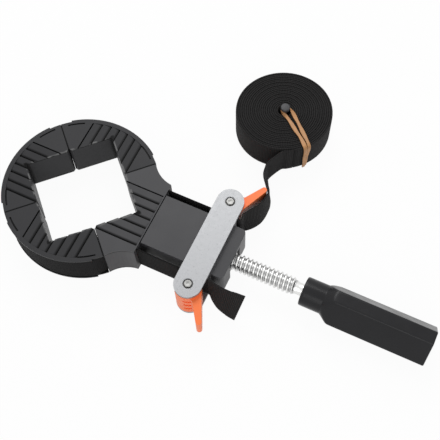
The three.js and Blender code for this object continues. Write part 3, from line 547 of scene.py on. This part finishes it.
def dress(obj: bpy.types.Object, finish: AnyFinish, body: Optional[str] = None,
          nodes: Sequence[str] = ()) -> None:
    """Gives a piece its finish and body, and hides the nodes that it stands for.

    Args:
        obj: the piece.
        finish: its finish.
        body: the body it rides on; left out where the piece lies between two.
        nodes: the nodes that it replaces.
    """
    add_material(obj.data, finish)
    if body:
        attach(obj, body)
    if nodes:
        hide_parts(*nodes)


def smooth_path(knots: np.ndarray, steps: int) -> np.ndarray:
    """A curve through the knots, each stretch a cubic of its two ends and their neighbours.

    Args:
        knots: (count, k) values.
        steps: points per stretch.

    Returns:
        The values along the curve.
    """
    padded = np.concatenate([knots[:1], knots, knots[-1:]])
    a, b, c, d = (padded[k:len(knots) - 1 + k, None, :] for k in range(4))
    t = np.linspace(0, 1, steps, endpoint=False)[None, :, None]
    line = 0.5 * (2 * b + (c - a) * t + (2 * a - 5 * b + 4 * c - d) * t**2
                  + (3 * b - a - 3 * c + d) * t**3)
    return np.concatenate([line.reshape(-1, knots.shape[1]), knots[-1:]])


def run_length(line: np.ndarray) -> np.ndarray:
    """The length along a line up to each of its points."""
    return np.concatenate([[0], np.cumsum(np.linalg.norm(np.diff(line, axis=0), axis=1))])


def flat_profile(width: float, thick: float, per_side: int = 11) -> np.ndarray:
    """The section of a flat strip: flat faces with rounded edges, as a closed ring.

    The half thickness at a share t of the half width is the full one times the square root of
    1 less a high power of t, and no less than a set share of it, so that the section keeps its
    thickness until close to the edge. The shares crowd towards the edges.

    Args:
        width: from edge to edge.
        thick: across the faces.
        per_side: points up one face.

    Returns:
        An array (points, 2) of offsets across and up.
    """
    crowd, power, least = 2.5, 60, 0.6
    even = np.linspace(-1, 1, per_side)
    t = np.sign(even) * (1 - (1 - np.abs(even)) ** crowd)
    half = thick / 2 * np.sqrt(np.clip(1 - np.abs(t) ** power, least**2, 1))
    right = np.stack([half, t * width / 2], axis=1)
    return np.concatenate([right, right[::-1] * np.array([-1, 1])])


@dataclass(frozen=True)
class Standing:
    """A length of webbing that stands on its edge along a line."""

    name: str
    line: np.ndarray  # (count, 2) places in mm
    thick: float | np.ndarray = 1.0  # thickness in mm, for all of it or for each place
    # (count, 2) shift of the upper edge against the lower one in mm, if it leans
    lean: Optional[np.ndarray] = None
    # height of the lower edge in mm; the band's height in the clamp if left out
    low: Optional[np.ndarray] = None
    width: float = 25.0  # the band's width in mm

    def build(self) -> bpy.types.Object:
        """The strip as one closed surface.

        Each point is the line's place, plus the section's first offset across the line, plus its
        second offset along the leaning upright.

        Returns:
            The linked object.
        """
        count = len(self.line)
        lean = np.zeros((count, 2)) if self.lean is None else self.lean
        low = np.full(count, MID_Z - self.width / 2) if self.low is None else self.low
        ahead = unit(np.gradient(self.line, axis=0))
        side = np.stack([ahead[:, 1], -ahead[:, 0]], axis=1) * np.reshape(self.thick, (-1, 1))
        rise = np.sqrt(self.width**2 - (lean**2).sum(axis=1))
        profile = flat_profile(self.width, 1.0)
        share = profile[:, 1] / self.width
        xy = (self.line[:, None, :] + side[:, None, :] * profile[None, :, :1]
              + lean[:, None, :] * share[None, :, None])
        z = low[:, None] + rise[:, None] * (share[None, :] + 0.5)
        grid = np.concatenate([xy, z[:, :, None]], axis=2) * MM
        around = run_length(np.concatenate([profile, profile[:1]]))
        u, v = np.meshgrid(around / around[-1], run_length(self.line) * MM)
        return grid_object(self.name, grid[:, ::-1], np.stack([u[:, ::-1], v], axis=-1))

    def loose(self, node: str) -> None:
        """The strip in place of its node on the housing's body.

        Args:
            node: the node that it stands for.
        """
        obj = self.build()
        dress(obj, WEBBING, "housing", nodes=[node])


# The lead's route from the cam to the coil: shares of its bulge, of the way to the coil, of its
# lean across and along, and of its fall to the floor.
LEAD_SHARES = (
    (0, 0, 0, 0, 0), (0.09, 0.0015, 0, 0, 0.02), (0.16, 0.017, -0.03, 0.03, 0.1),
    (0.18, 0.042, -0.08, 0.08, 0.2), (0.17, 0.076, -0.17, 0.17, 0.36),
    (0.38, 0.122, -0.37, 0.33, 0.64), (0.61, 0.175, -0.5, 0.37, 0.79),
    (0.84, 0.24, -0.5, 0.25, 0.93), (0.97, 0.313, -0.37, 0.12, 1), (1, 0.392, -0.27, 0.12, 1),
    (0.97, 0.445, -0.31, 0.08, 1), (0.8, 0.5, -0.6, 0.04, 1), (0.56, 0.544, -1, 0, 1),
    (0.32, 0.603, -0.96, 0, 1), (0.15, 0.677, -0.62, 0, 1), (0.05, 0.749, -0.1, 0, 1),
)
# The tail's route: shares of its length, its swing outward, its lean and its fall.
TAIL_SHARES = (
    (0, 0, 0.083, 0), (0.05, 0.02, 0.12, 0.05), (0.177, 0.405, 0.354, 0.25),
    (0.383, 0.833, 0.615, 0.5), (0.606, 1, 0.79, 0.73), (0.812, 1, 0.917, 0.9), (1, 0.976, 1, 1),
)


@dataclass
class Band:
    """The webbing in the clamp: round the jaws and along the neck to the cams."""

    thick: float = 1.0  # its thickness in mm
    splits: Pair = (135.0, 225.0)  # angles in degrees of the splits beside the far jaw
    leave: float = 53.5  # angle at which it leaves the ring towards the nose
    dip: float = 2.4  # how far inside the ring it crosses the nose's split
    bend_r: float = 8.0  # radius of its bend onto the neck's line
    bridge: float = 2.4  # how far a length that crosses a split reaches along the jaws
    mouth: float = 0.8  # how far it reaches into the nose
    slack: float = 18.0  # how much of the neck's run before the cam stays straight

    @property
    def radius(self) -> float:
        """The radius of the band's middle round the ring."""
        return BAND_OUT - self.thick / 2

    def ring_line(self, first: float, last: float, steps: int = 48) -> np.ndarray:
        """The band's line round the ring between two angles in degrees."""
        way = directions(np.linspace(first, last, steps + 1))
        return np.array([RING_X, 0]) + self.radius * way

    def nose_lines(self) -> tuple[np.ndarray, np.ndarray, np.ndarray]:
        """The line from the ring to the neck on the coil's side, in three stretches.

        It leaves the ring straight for the place where it crosses the split, goes on straight, and
        then turns round a bend that touches the neck's line.

        Returns:
            The stretch from the ring to just before the split, the one across it, and the rest.
        """
        start = self.ring_line(self.leave, self.leave, 0)[0]
        split = directions(180 - self.splits[0])
        cross = np.array([RING_X, 0]) + (self.radius - self.dip) * split
        way = unit(cross - start)
        slope = math.atan2(way[1], way[0])
        knee = cross[0] + (RUN_Y - cross[1]) / math.tan(slope)
        middle = np.array([knee + self.bend_r * math.tan(-slope / 2), RUN_Y + self.bend_r])
        turned = directions(np.linspace(math.degrees(slope) - 90, -90, 16))
        bend = middle + self.bend_r * turned
        before, after = (cross + way * d for d in (-self.bridge, self.mouth))
        end = np.array([[span("band_bend_coil_side", 0)[1], RUN_Y]])
        return (np.linspace(start, before, 8)[1:], np.linspace(before, after, 8),
                np.concatenate([np.linspace(after, bend[0], 10)[:-1], bend, end]))

    def on_body(self, name: str, line: np.ndarray, body: str, node: str) -> None:
        """A length that rides on one body and stands for its node."""
        dress(Standing(name, line, self.thick).build(), SHADED_WEBBING, body, nodes=[node])

    def across(self, first: str, second: str, line: np.ndarray) -> None:
        """A short length that lies between two bodies.

        Args:
            first: the body at the line's start.
            second: the body at its end.
            line: its places in mm.
        """
        obj = Standing(f"webbing_{first}_to_{second}", line, self.thick).build()
        dress(obj, SHADED_WEBBING)
        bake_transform(obj)

    def along_neck(self, side: Side) -> None:
        """The length along the neck.

        Args:
            side: the side of the clamp that it is on.
        """
        y = RUN_Y * side.value
        x = np.linspace(*RUN_X, 61)
        line = np.stack([x, np.full_like(x, y)], axis=1)
        obj = Standing(f"webbing_run_{side.word}", line, self.thick).build()
        dress(obj, SHADED_WEBBING, nodes=[f"band_run_{side.word}"])
        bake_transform(obj)

    def build(self) -> None:
        """The lengths on the jaws, across the splits, through the nose and along the neck."""
        turn = math.degrees(self.bridge / self.radius)
        first, last = self.splits
        onto, over, rest = self.nose_lines()
        for side, link in ((Side.COIL, "nose"), (Side.TAIL, "band_link")):
            mirror = np.array([1, side.value])
            jaw = f"jaw_{side.word}"
            arc = np.concatenate([self.ring_line(first - turn, self.leave), onto]) * mirror
            self.on_body(f"webbing_{jaw}", arc, jaw, f"band_arc_{side.word}")
            self.across(link, jaw, over[::-1] * mirror)
            bend = f"band_bend_{side.word}"
            self.on_body(f"webbing_nose_{side.word}", rest * mirror, link, bend)
            self.along_neck(side)
        arc = self.ring_line(first + turn, last - turn)
        self.on_body("webbing_jaw_far", arc, "jaw_far", "band_arc_far")
        jaws = ("jaw_coil_side", "jaw_far", "jaw_tail_side")
        for split, *pair in zip(self.splits, jaws, jaws[1:]):
            self.across(*pair, self.ring_line(split - turn, split + turn, 12))
        LOG.info("webbing in the clamp done")


@dataclass
class LooseBand:
    """The webbing past the cams: the lead, the wound coil and the short tail."""

    centre: Pair = (3.2, 113.4)  # the coil's middle in mm
    coil_r: float = 32.1  # radius of its outer turn
    loops: int = 20  # number of turns
    per_turn: int = 64  # points in one of them
    pitch: float = 1.4  # how much the radius falls each turn
    start: float = -54.0  # angle of its outer end in degrees
    lift: float = 1.1  # height of its lower edge
    coil_width: float = 24.6  # width of the webbing in it
    apart: float = 0.04  # what one turn keeps from the next
    wave: float = 0.35  # how far single turns stand up from the others
    # shares of it, rates in radians a turn and starts of the two sines that it follows
    swells: tuple[Triple, ...] = ((0.6, 2.7, 0.0), (0.4, 6.1, 1.0))
    oval: float = 1.055  # how much wider the coil lies along one way
    oval_way: float = 25.0  # that way, in degrees
    gap: float = 0.3  # what a piece keeps from the one before it
    bulge: float = 10.2  # how far the lead swings out
    lead_lean: float = 4.8  # its greatest lean
    straight: float = 9.0  # how far before the coil it is straight
    # the tail's length along the clamp, swing, lean, skew and drop
    tail: tuple[float, float, float, float, float] = (24.3, 4.2, 9.6, 3.1, 1.5)
    hem: float = 8.0  # length of the folded and stitched end
    fold: Pair = (0.8, 0.8)  # how much thicker it is, and over what length it becomes so
    # the stitches' place from the fold's end, their width and how deep they draw it in
    stitch: Triple = (1.6, 0.5, 0.35)

    @property
    def leaves(self) -> tuple[float, ...]:
        """Where the lead leaves the cam: its place, its lean along x and y, and its lower edge."""
        return RUN_X[1] + self.gap, RUN_Y, 0, 0, span("band_run_coil_side", 2)[0]

    def coil_line(self, turn: np.ndarray) -> np.ndarray:
        """Places on the spiral, whose radius falls by the pitch each turn, stretched along one way.

        Args:
            turn: turns from the outer end.

        Returns:
            (count, 2) places in mm.
        """
        spiral = directions(self.start + 360 * turn) * (self.coil_r - self.pitch * turn)[:, None]
        way = directions(self.oval_way)
        return np.array(self.centre) + spiral + (self.oval - 1) * np.outer(spiral @ way, way)

    def build_coil(self) -> None:
        """The wound band, with turns that stand a little higher or lower than their neighbours."""
        turn = np.linspace(0, self.loops, self.loops * self.per_turn + 1)
        swell = sum(share * np.sin(turn * rate + start) for share, rate, start in self.swells)
        low = self.lift + self.wave * (1 + swell)
        Standing("webbing_coil", self.coil_line(turn), self.pitch - self.apart, low=low,
                 width=self.coil_width).loose("band_coil")

    def build_lead(self) -> None:
        """The lead: out past the cam's finger, back in, and onto the coil along its tangent."""
        entry = self.coil_line(np.zeros(1))[0]
        reach = (self.bulge, entry[1] - RUN_Y, self.lead_lean, self.lead_lean,
                 self.lift - self.leaves[-1])
        knots = np.array(LEAD_SHARES) * reach + self.leaves
        way = directions(self.start - 90)
        last = [(*(entry + way * back), 0, 0, self.lift)
                for back in (self.straight, self.straight / 2, self.gap)]
        path = smooth_path(np.concatenate([knots, last]), 10)
        strip = Standing("webbing_lead", path[:, :2], 1.0, path[:, 2:4], path[:, 4])
        strip.loose("band_lead")

    def build_tail(self) -> None:
        """The short tail, twice as thick where its end is folded over and stitched."""
        length, swing, lean, skew, drop = self.tail
        shares = np.array(TAIL_SHARES)
        shares = np.insert(shares, 2, shares[:, 0] ** 2, axis=1)
        reach = (length, swing, skew, lean, -drop)
        knots = (shares * reach + self.leaves) * (1, -1, 1, 1, 1)
        path = smooth_path(knots, 12)
        left = run_length(path[:, :2])
        left = left[-1] - left
        added, over = self.fold
        inset, width, draw = self.stitch
        stitches = np.exp(-(((left - self.hem + inset) / width) ** 2))
        thick = 1.0 + added * np.clip((self.hem - left) / over, 0, 1) - draw * stitches
        strip = Standing("webbing_tail", path[:, :2], thick, path[:, 2:4], path[:, 4])
        strip.loose("band_tail")

    def build(self) -> None:
        """The coil, the lead and the tail."""
        self.build_coil()
        self.build_lead()
        self.build_tail()


# The peg's outline: which of its levels, how far above it, how far past the stem's radius, and
# whether it is on the head.
PEG_OUTLINE = (
    (0, 0, -0.3, 0), (0, 0.2, 0, 0), (1, -0.2, 0, 0), (1, 0, 0.1, 1), (1, 0.2, 0.2, 1),
    (2, -0.5, 0.2, 1), (2, -0.12, 0, 1), (2, 0, -0.5, 1),
)


@dataclass
class CoilHolder:
    """The peg in the coil's middle and the rubber band looped round it and over the coil's edge."""

    peg: Pair = (4.0, 114.2)  # the peg's middle in mm
    peg_r: float = 2.2  # its radius
    head: float = 0.9  # how far its head stands out
    levels: Triple = (0.9, 27.9, 29.9)  # its lower end, the head's underside and its upper end
    around: int = 40  # points round it
    width: float = 2.5  # the rubber band's width
    thick: float = 0.8  # its thickness
    # how far its width wanders, as a share, and how fast, in radians a mm
    uneven: Pair = (0.16, 0.4)
    ride: float = 0.9  # height of its middle over the coil's top
    sink: float = 1.6  # how far below that it lies round the peg
    hug: float = 0.6  # distance of its middle from the peg, as a share of its thickness
    # angles in degrees at which it lies against the peg
    wrap: tuple[float, ...] = (80.0, 120.0, 160.0, 200.0, 235.0)

    def build_peg(self) -> None:
        """A round peg with a wider head: a radius for each height, turned round its axis."""
        level, above, past, on_head = np.array(PEG_OUTLINE).T
        z = np.array(self.levels)[level.astype(int)] + above
        r = self.peg_r + past + self.head * on_head
        way = directions(np.linspace(0, 360, self.around, endpoint=False))
        xy = np.array(self.peg) + way[None] * r[:, None, None]
        grid = np.concatenate([xy, np.broadcast_to(z[:, None, None], (*xy.shape[:2], 1))], axis=2)
        dress(grid_object("coil_peg", grid * MM), NECK_PLASTIC, "housing")

    def build_rubber(self) -> None:
        """The rubber band: up the coil's wall, in to the peg, round it and back beside itself.

        Its route is a list of places, each with the way that the rubber faces there. Each point is
        the route's place, plus the section's second offset along the cross product of the route's
        direction and that way, plus its first offset along the normal of both.
        """
        top = span("band_coil", 2)[1] + self.ride
        deep = top - self.sink
        way = directions(self.wrap)
        near = np.array(self.peg) + (self.peg_r + self.thick * self.hug) * way
        level = np.zeros((len(way), 1))
        round_peg = np.concatenate([near, level + deep, way, level], axis=1)
        flat, out = (0, 0, 1), (0.77, -0.63, 0.1)
        knots = np.array([
            (29.5, 92.2, 2.5, *out), (29.7, 92.4, 8, *out), (30.0, 92.8, 14, *out),
            (30.3, 93.2, 20, *out), (30.6, 93.5, 25, *out), (30.2, 94.2, top - 0.2, 0.6, -0.4, 0.7),
            (27.9, 96.7, top + 0.1, *flat), (23.0, 101.4, top, *flat), (18.0, 106.2, top, *flat),
            (12.9, 111.0, top, 0.1, 0.1, 1), (9.4, 114.3, top - 0.1, 0.4, 0.2, 0.9),
            (7.2, 116.4, top - 0.7, 0.7, 0.5, 0.5), *round_peg,
            (4.0, 110.9, deep + 0.6, -0.5, -0.6, 0.5), (6.8, 109.3, top - 0.2, -0.3, -0.4, 0.9),
            (11.7, 105.8, top, *flat), (17.2, 101.4, top, *flat), (22.6, 97.4, top, *flat),
            (26.6, 93.6, top + 0.1, *flat), (28.3, 91.9, top - 0.2, 0.6, -0.4, 0.7),
            (29.0, 91.3, 24.6, *out), (29.1, 91.2, 19, *out), (29.3, 90.9, 12, *out),
            (29.3, 90.7, 2.5, *out),
        ])
        path = smooth_path(knots, 8)
        ahead = unit(np.gradient(path[:, :3], axis=0))
        across = unit(np.cross(ahead, path[:, 3:]))
        normal = np.cross(across, ahead)
        profile = flat_profile(self.width, self.thick, 7)
        share, rate = self.uneven
        across *= 1 + share * np.sin(run_length(path[:, :3]) * rate)[:, None]
        grid = (path[:, None, :3] + normal[:, None, :] * profile[None, :, :1]
                + across[:, None, :] * profile[None, :, 1:])
        dress(grid_object("rubber_band", grid * MM), RUBBER, "housing", nodes=["coil_holder"])

    def build(self) -> None:
        """The peg and the rubber band."""
        self.build_peg()
        self.build_rubber()
        LOG.info("peg and rubber band done")


@dataclass
class Spindle:
    """The screw with its thread, and the handle on it."""

    crest: float = 5.95  # the thread's outer radius in mm
    root: float = 4.6  # its inner radius
    pitch: float = 3.0
    thread: Pair = (8.5, 60.8)  # where it starts and ends
    ridge: Pair = (0.4, 0.3)  # half of the ridge's foot and the length of its flank, in pitches
    # how long the thread takes to rise at its start and to fall at its end
    run_out: Pair = (1.5, 2.2)
    bright: float = 0.3  # how far below the crest the painted shade on the metal starts
    shank: float = 4.1  # radius of the plain part in the handle
    journal: float = 3.6  # radius of the plain end in the nose jaw
    collar: Triple = (66.4, 81.0, 9.7)  # start, end and radius of the handle's collar
    # places and radii of the handle's widening part
    cone: tuple[tuple[float, ...], tuple[float, ...]] = ((82.2, 88.0, 93.0), (10.4, 14.6, 18.0))
    wide: float = 19.5  # the six-sided bar's wide faces
    narrow: float = 8.5  # its narrow faces
    # powers of the soft minimum over the bar's faces and over cone and bar; the higher, the
    # sharper the edge
    soft: tuple[int, int] = (46, 34)
    # how far before the collar's end the cone sets in, and over what length
    step: Pair = (0.3, 0.8)
    dome: float = 0.8  # how far the handle's ends are drawn in
    dome_long: Pair = (1.2, 0.9)  # over what length, at the collar and at the far end
    sections: tuple[int, int, int] = (8, 420, 12)  # places before, along and past the thread
    around: tuple[int, int] = (72, 192)  # points round the screw and round the handle
    # the handle's places where it starts and where it ends, from those ends
    first_steps: tuple[float, ...] = (0.0, 0.1, 0.35, 0.7, 1.2)
    last_steps: tuple[float, ...] = (0.9, 0.6, 0.35, 0.15, 0.05, 0.0)
    # its stretches from one end of collar, cone and bar to the next: how far past the one each
    # starts, how far past the other it stops, and its number of places
    stretches: tuple[tuple[float, float, int], ...] = (
        (2.0, -0.6, 12), (-0.3, 1.0, 60), (3.0, -2.5, 24),
    )

    @staticmethod
    def _turned(name: str, x: np.ndarray, a: np.ndarray, r: np.ndarray) -> bpy.types.Object:
        """A closed surface round the screw's axis.

        Args:
            name: the piece's name.
            x: places along the axis in mm.
            a: angles round it in radians.
            r: the radius at each place and angle.

        Returns:
            The linked object.
        """
        y, z = r * np.cos(a), MID_Z + r * np.sin(a)
        grid = np.stack([np.broadcast_to(x[:, None], r.shape), y, z], axis=-1)
        return grid_object(name, grid[:, ::-1] * MM)

    def build_screw(self) -> None:
        """The screw as one surface: the radius is a function of place along and angle round.

        In the thread it is the root plus a rounded trapezoid of the place counted in pitches less
        the angle counted in turns, so that the ridge winds right-handed.
        """
        first, last = span("spindle_screw", 0)
        start, end = self.thread
        before, along, past = self.sections
        x = np.concatenate([np.linspace(first, start, before)[:-1], np.linspace(start, end, along),
                            np.linspace(end, last, past)[1:]])
        a = np.linspace(0, 2 * math.pi, self.around[0], endpoint=False)
        phase = (x[:, None] / self.pitch - a[None, :] / (2 * math.pi)) % 1.0
        foot, flank = self.ridge
        ridge = np.clip((foot - np.abs(phase - 0.5)) / flank, 0, 1)
        ridge = ridge * ridge * (3 - 2 * ridge)
        rise, fall = self.run_out
        inside = np.clip((x - start) / rise, 0, 1) * np.clip((end - x) / fall, 0, 1)
        r = self.root + (self.crest - self.root) * ridge * inside[:, None]
        r = np.where(x[:, None] < start, self.journal, r)
        r = np.where(x[:, None] > end, self.shank, r)
        # the darker root colour is painted shade in the thread's grooves
        metal = ThreadFinish("bright_thread", (0.78, 0.78, 0.77), (0.45, 0.45, 0.45),
                             (self.root * MM, (self.crest - self.bright) * MM), end * MM)
        dress(self._turned("screw_with_thread", x, a, r), metal, "screw", nodes=["spindle_screw"])

    def build_handle(self) -> None:
        """The handle: a round collar, then the lesser of a widening cone and a six-sided bar.

        The bar's radius at an angle is the least of each face's distance over the cosine of the
        angle from its middle, taken as a soft minimum so that the edges are rounded. Its wide and
        narrow faces take turns, so a wide face's distance is the wide width plus twice the narrow
        one over twice the root of 3, and a narrow face's the other way round.
        """
        sides = np.array([self.wide + 2 * self.narrow] * 3 + [2 * self.wide + self.narrow] * 3)
        start, end, collar = self.collar
        last = span("handle", 0)[1]
        ends = (start, end, self.cone[0][-1], last)
        x = np.concatenate([
            start + np.array(self.first_steps),
            *(np.linspace(low + after, high + past, count)
              for low, high, (after, past, count) in zip(ends, ends[1:], self.stretches)),
            last - np.array(self.last_steps),
        ])
        a = np.linspace(0, 2 * math.pi, self.around[1], endpoint=False)
        middles = np.radians([30, 150, 270, 90, 210, 330])
        reach = np.maximum(np.cos(a[:, None] - middles), 1e-3) / sides * (2 * math.sqrt(3))
        bar_soft, both_soft = self.soft
        bar = 1 / (reach**bar_soft).sum(axis=1) ** (1 / bar_soft)
        cone = np.interp(x, (start, end, *self.cone[0]), (collar, collar, *self.cone[1]))
        both = (cone[:, None] ** -both_soft + bar[None, :] ** -both_soft) ** (-1 / both_soft)
        before, over = self.step
        blend = np.clip((x - end + before) / over, 0, 1)[:, None]
        r = collar * (1 - blend) + both * blend
        for edge, long in zip((x - start, last - x), self.dome_long):
            share = np.clip(edge / long, 0, 1)
            r = r - (self.dome * (1 - np.sqrt(1 - (1 - share) ** 2)))[:, None]
        dress(self._turned("hand_grip", x, a, r), GRIP_PLASTIC, "screw", nodes=["handle"])

    def build(self) -> None:
        """The screw and its handle."""
        self.build_screw()
        self.build_handle()
        LOG.info("screw and handle done")


@dataclass(frozen=True)
class KeptShape:
    """A node whose shape stays: a merged copy of it gets rounded edges and a finish."""

    node: str
    finish: Finish
    edge: float = 0.3  # the edges' rounding in mm
    sharp: float = 32.0  # edges turned more than this many degrees are rounded
    crease: float = 32.0  # edges turned more than this many degrees are shaded sharp
    flat: float = 0.6  # faces turned less than this many degrees are joined
    weld: float = 1e-6  # corners nearer than this are merged, in metres

    def build(self) -> None:
        """Merges a copy's triangles, joins its flat faces, rounds its edges and dresses it."""
        name = f"{self.node}_finished"
        mesh = frame["nodes"][self.node].data.copy()
        mesh.name = name
        mesh.materials.clear()
        shape = bmesh.new()
        shape.from_mesh(mesh)
        bmesh.ops.remove_doubles(shape, verts=shape.verts, dist=self.weld)
        bmesh.ops.dissolve_limit(shape, angle_limit=math.radians(self.flat), verts=shape.verts,
                                 edges=shape.edges)
        for face in shape.faces:
            face.smooth = True
        for edge in shape.edges:
            edge.smooth = edge.is_manifold and edge.calc_face_angle() < math.radians(self.crease)
        shape.to_mesh(mesh)
        shape.free()
        obj = linked(name, mesh)
        dress(obj, self.finish, BODY_OF[self.node], nodes=[self.node])
        # the rounded edges get the lighter copy of the finish: a painted highlight along them
        add_material(mesh, self.finish.worn())
        bevel = obj.modifiers.new("edge", "BEVEL")
        bevel.width = self.edge * MM
        bevel.segments = 2
        bevel.limit_method = "ANGLE"
        bevel.angle_limit = math.radians(self.sharp)
        bevel.use_clamp_overlap = True
        bevel.harden_normals = True
        bevel.material = 1
        LOG.info("%s, %d faces", name, len(mesh.polygons))


KEPT_SHAPES = (
    KeptShape("housing", NECK_PLASTIC, 0.5),
    KeptShape("nose_jaw", NOSE_PLASTIC, 0.2, crease=5.0),
    *(KeptShape(f"jaw_{word}", JAW_PLASTIC, 0.2, crease=5.0)
      for word in ("coil_side", "far", "tail_side")),
    *(KeptShape(f"crossbar_{word}", PLATE_STEEL, 0.25) for word in ("upper", "lower")),
    *(KeptShape(f"pin_{side.word}", RIVET_STEEL, 0.15) for side in Side),
    *(KeptShape(f"cam_lever_{side.word}", LEVER_PLASTIC, 0.5) for side in Side),
    *(KeptShape(node, RIVET_STEEL, 0.15)
      for node in ("spindle_nut", "thrust_washer", "retaining_clip")),
)


def aim(name: str, data: bpy.types.ID, axes: Sequence[np.ndarray], place: Sequence[float],
        ) -> bpy.types.Object:
    """A lamp or camera at a place, linked to the scene.

    Args:
        name: its name.
        data: the lamp's or the camera's data.
        axes: its directions right, up and backward.
        place: where it is, in metres.

    Returns:
        The linked object.
    """
    matrix = np.eye(4)
    matrix[:3, :3] = np.stack(axes, axis=1)
    matrix[:3, 3] = place
    obj = linked(name, data)
    obj.matrix_world = Matrix(matrix.tolist())
    return obj


@dataclass(frozen=True)
class Lamp:
    """A square lamp that points at the middle of the clamp."""

    name: str
    place: Triple  # where it is, in metres
    power: float  # in watts
    size: float = 0.8  # its edge in metres

    def build(self) -> None:
        """Makes the lamp and turns it to the middle."""
        data = bpy.data.lights.new(self.name, "AREA")
        data.energy, data.size = self.power, self.size
        away = unit(np.array(self.place))
        side = unit(np.cross((0, 0, 1), away))
        aim(self.name, data, (side, np.cross(away, side), away), self.place)


@dataclass
class Studio:
    """The camera at the photograph's angle, the white floor and the soft lights."""

    eye: Triple = (0.1060356, -0.1869719, 0.5172270)  # the camera's place in metres
    right: Triple = (0.90469039, 0.42561422, -0.01969351)  # its direction to the right of the frame
    down: Triple = (0.37749808, -0.82213196, -0.42613876)  # its direction down the frame
    ahead: Triple = (-0.19756138, 0.37808938, -0.90444343)  # the direction it looks in
    focal_px: float = 827.83  # its focal length in the photograph's pixels
    frame_px: float = 440.0  # the photograph's width
    sensor: float = 36.0  # the camera's sensor width in mm
    clip: Pair = (0.01, 50.0)  # the nearest and the farthest that it sees, in metres
    sky: float = 0.5  # the sky's strength as a light
    lamps: tuple[Lamp, ...] = (
        Lamp("back_key", (-0.45, 0.75, 1.0), 8.5),
        Lamp("front_fill", (0.35, -0.95, 0.75), 3.6),
    )
    floor_reach: float = 3.0  # how far the floor reaches to each side, in metres
    floor_grey: float = 0.85  # how light it is, as linear grey
    floor_glow: float = 0.95  # how much of what the camera sees of it is plain white

    def build_camera(self) -> None:
        """The camera: its axes are the fitted right, up and backward directions."""
        data = bpy.data.cameras.new("camera")
        data.sensor_width = self.sensor
        data.lens = self.focal_px / self.frame_px * self.sensor
        data.clip_start, data.clip_end = self.clip
        axes = (self.right, np.negative(self.down), np.negative(self.ahead))
        bpy.context.scene.camera = aim("camera", data, axes, self.eye)

    @staticmethod
    def _seen(tree: Tree, seen: float, unseen: float) -> Socket:
        """One value to camera, glossy and transmission rays, and another to all the rest.

        Args:
            tree: the node tree.
            seen: the value where it is seen.
            unseen: the value as a light.

        Returns:
            The socket with the value.
        """
        path = tree.nodes.new("ShaderNodeLightPath").outputs
        total = path["Is Camera Ray"]
        for word in ("Is Glossy Ray", "Is Transmission Ray"):
            total = tree.math("MAXIMUM", total, path[word])
        return tree.ramp(total, 0.0, 1.0, unseen, seen)

    def build_lights(self) -> None:
        """The lamps and a pale sky that is white where it is seen."""
        for lamp in self.lamps:
            lamp.build()
        tree = Tree(bpy.data.worlds.new("sky"))
        bpy.context.scene.world = tree.owner
        seen = self._seen(tree, 1.0, self.sky)
        tree.fill(tree.nodes["Background"], Color=(1, 1, 1, 1), Strength=seen)

    def build_floor(self) -> None:
        """A white floor that shows white to the camera and keeps a soft shadow."""
        mesh = bpy.data.meshes.new("floor")
        corners = np.array([(-1, -1, 0), (1, -1, 0), (1, 1, 0), (-1, 1, 0)]) * self.floor_reach
        mesh.from_pydata(corners.tolist(), [], [(0, 1, 2, 3)])
        floor = linked("floor", mesh)
        tree = Tree(bpy.data.materials.new("white_floor"))
        grey = (*(self.floor_grey,) * 3, 1)
        tree.fill(tree.shader, Base_Color=grey, Roughness=1.0, Specular_IOR_Level=0.0)
        mix = tree.nodes.new("ShaderNodeMixShader")
        tree.fill(mix, Fac=self._seen(tree, self.floor_glow, 0.0))
        tree.put(mix.inputs[1], tree.shader.outputs["BSDF"])
        tree.put(mix.inputs[2], tree.add("Emission", "Emission"))
        tree.fill(tree.nodes["Material Output"], Surface=mix.outputs["Shader"])
        mesh.materials.append(tree.owner)

    def build(self) -> None:
        """Camera, lights and floor."""
        self.build_camera()
        self.build_lights()
        self.build_floor()
        bpy.context.scene.view_settings.view_transform = "Standard"
        LOG.info("camera, lights and floor done")


def main() -> None:
    """Builds the scene: camera and loose band first, then the rest of the clamp."""
    Studio().build()
    LooseBand().build()
    Band().build()
    CoilHolder().build()
    Spindle().build()
    for kept in KEPT_SHAPES:
        kept.build()


if __name__ == "__main__":
    main()
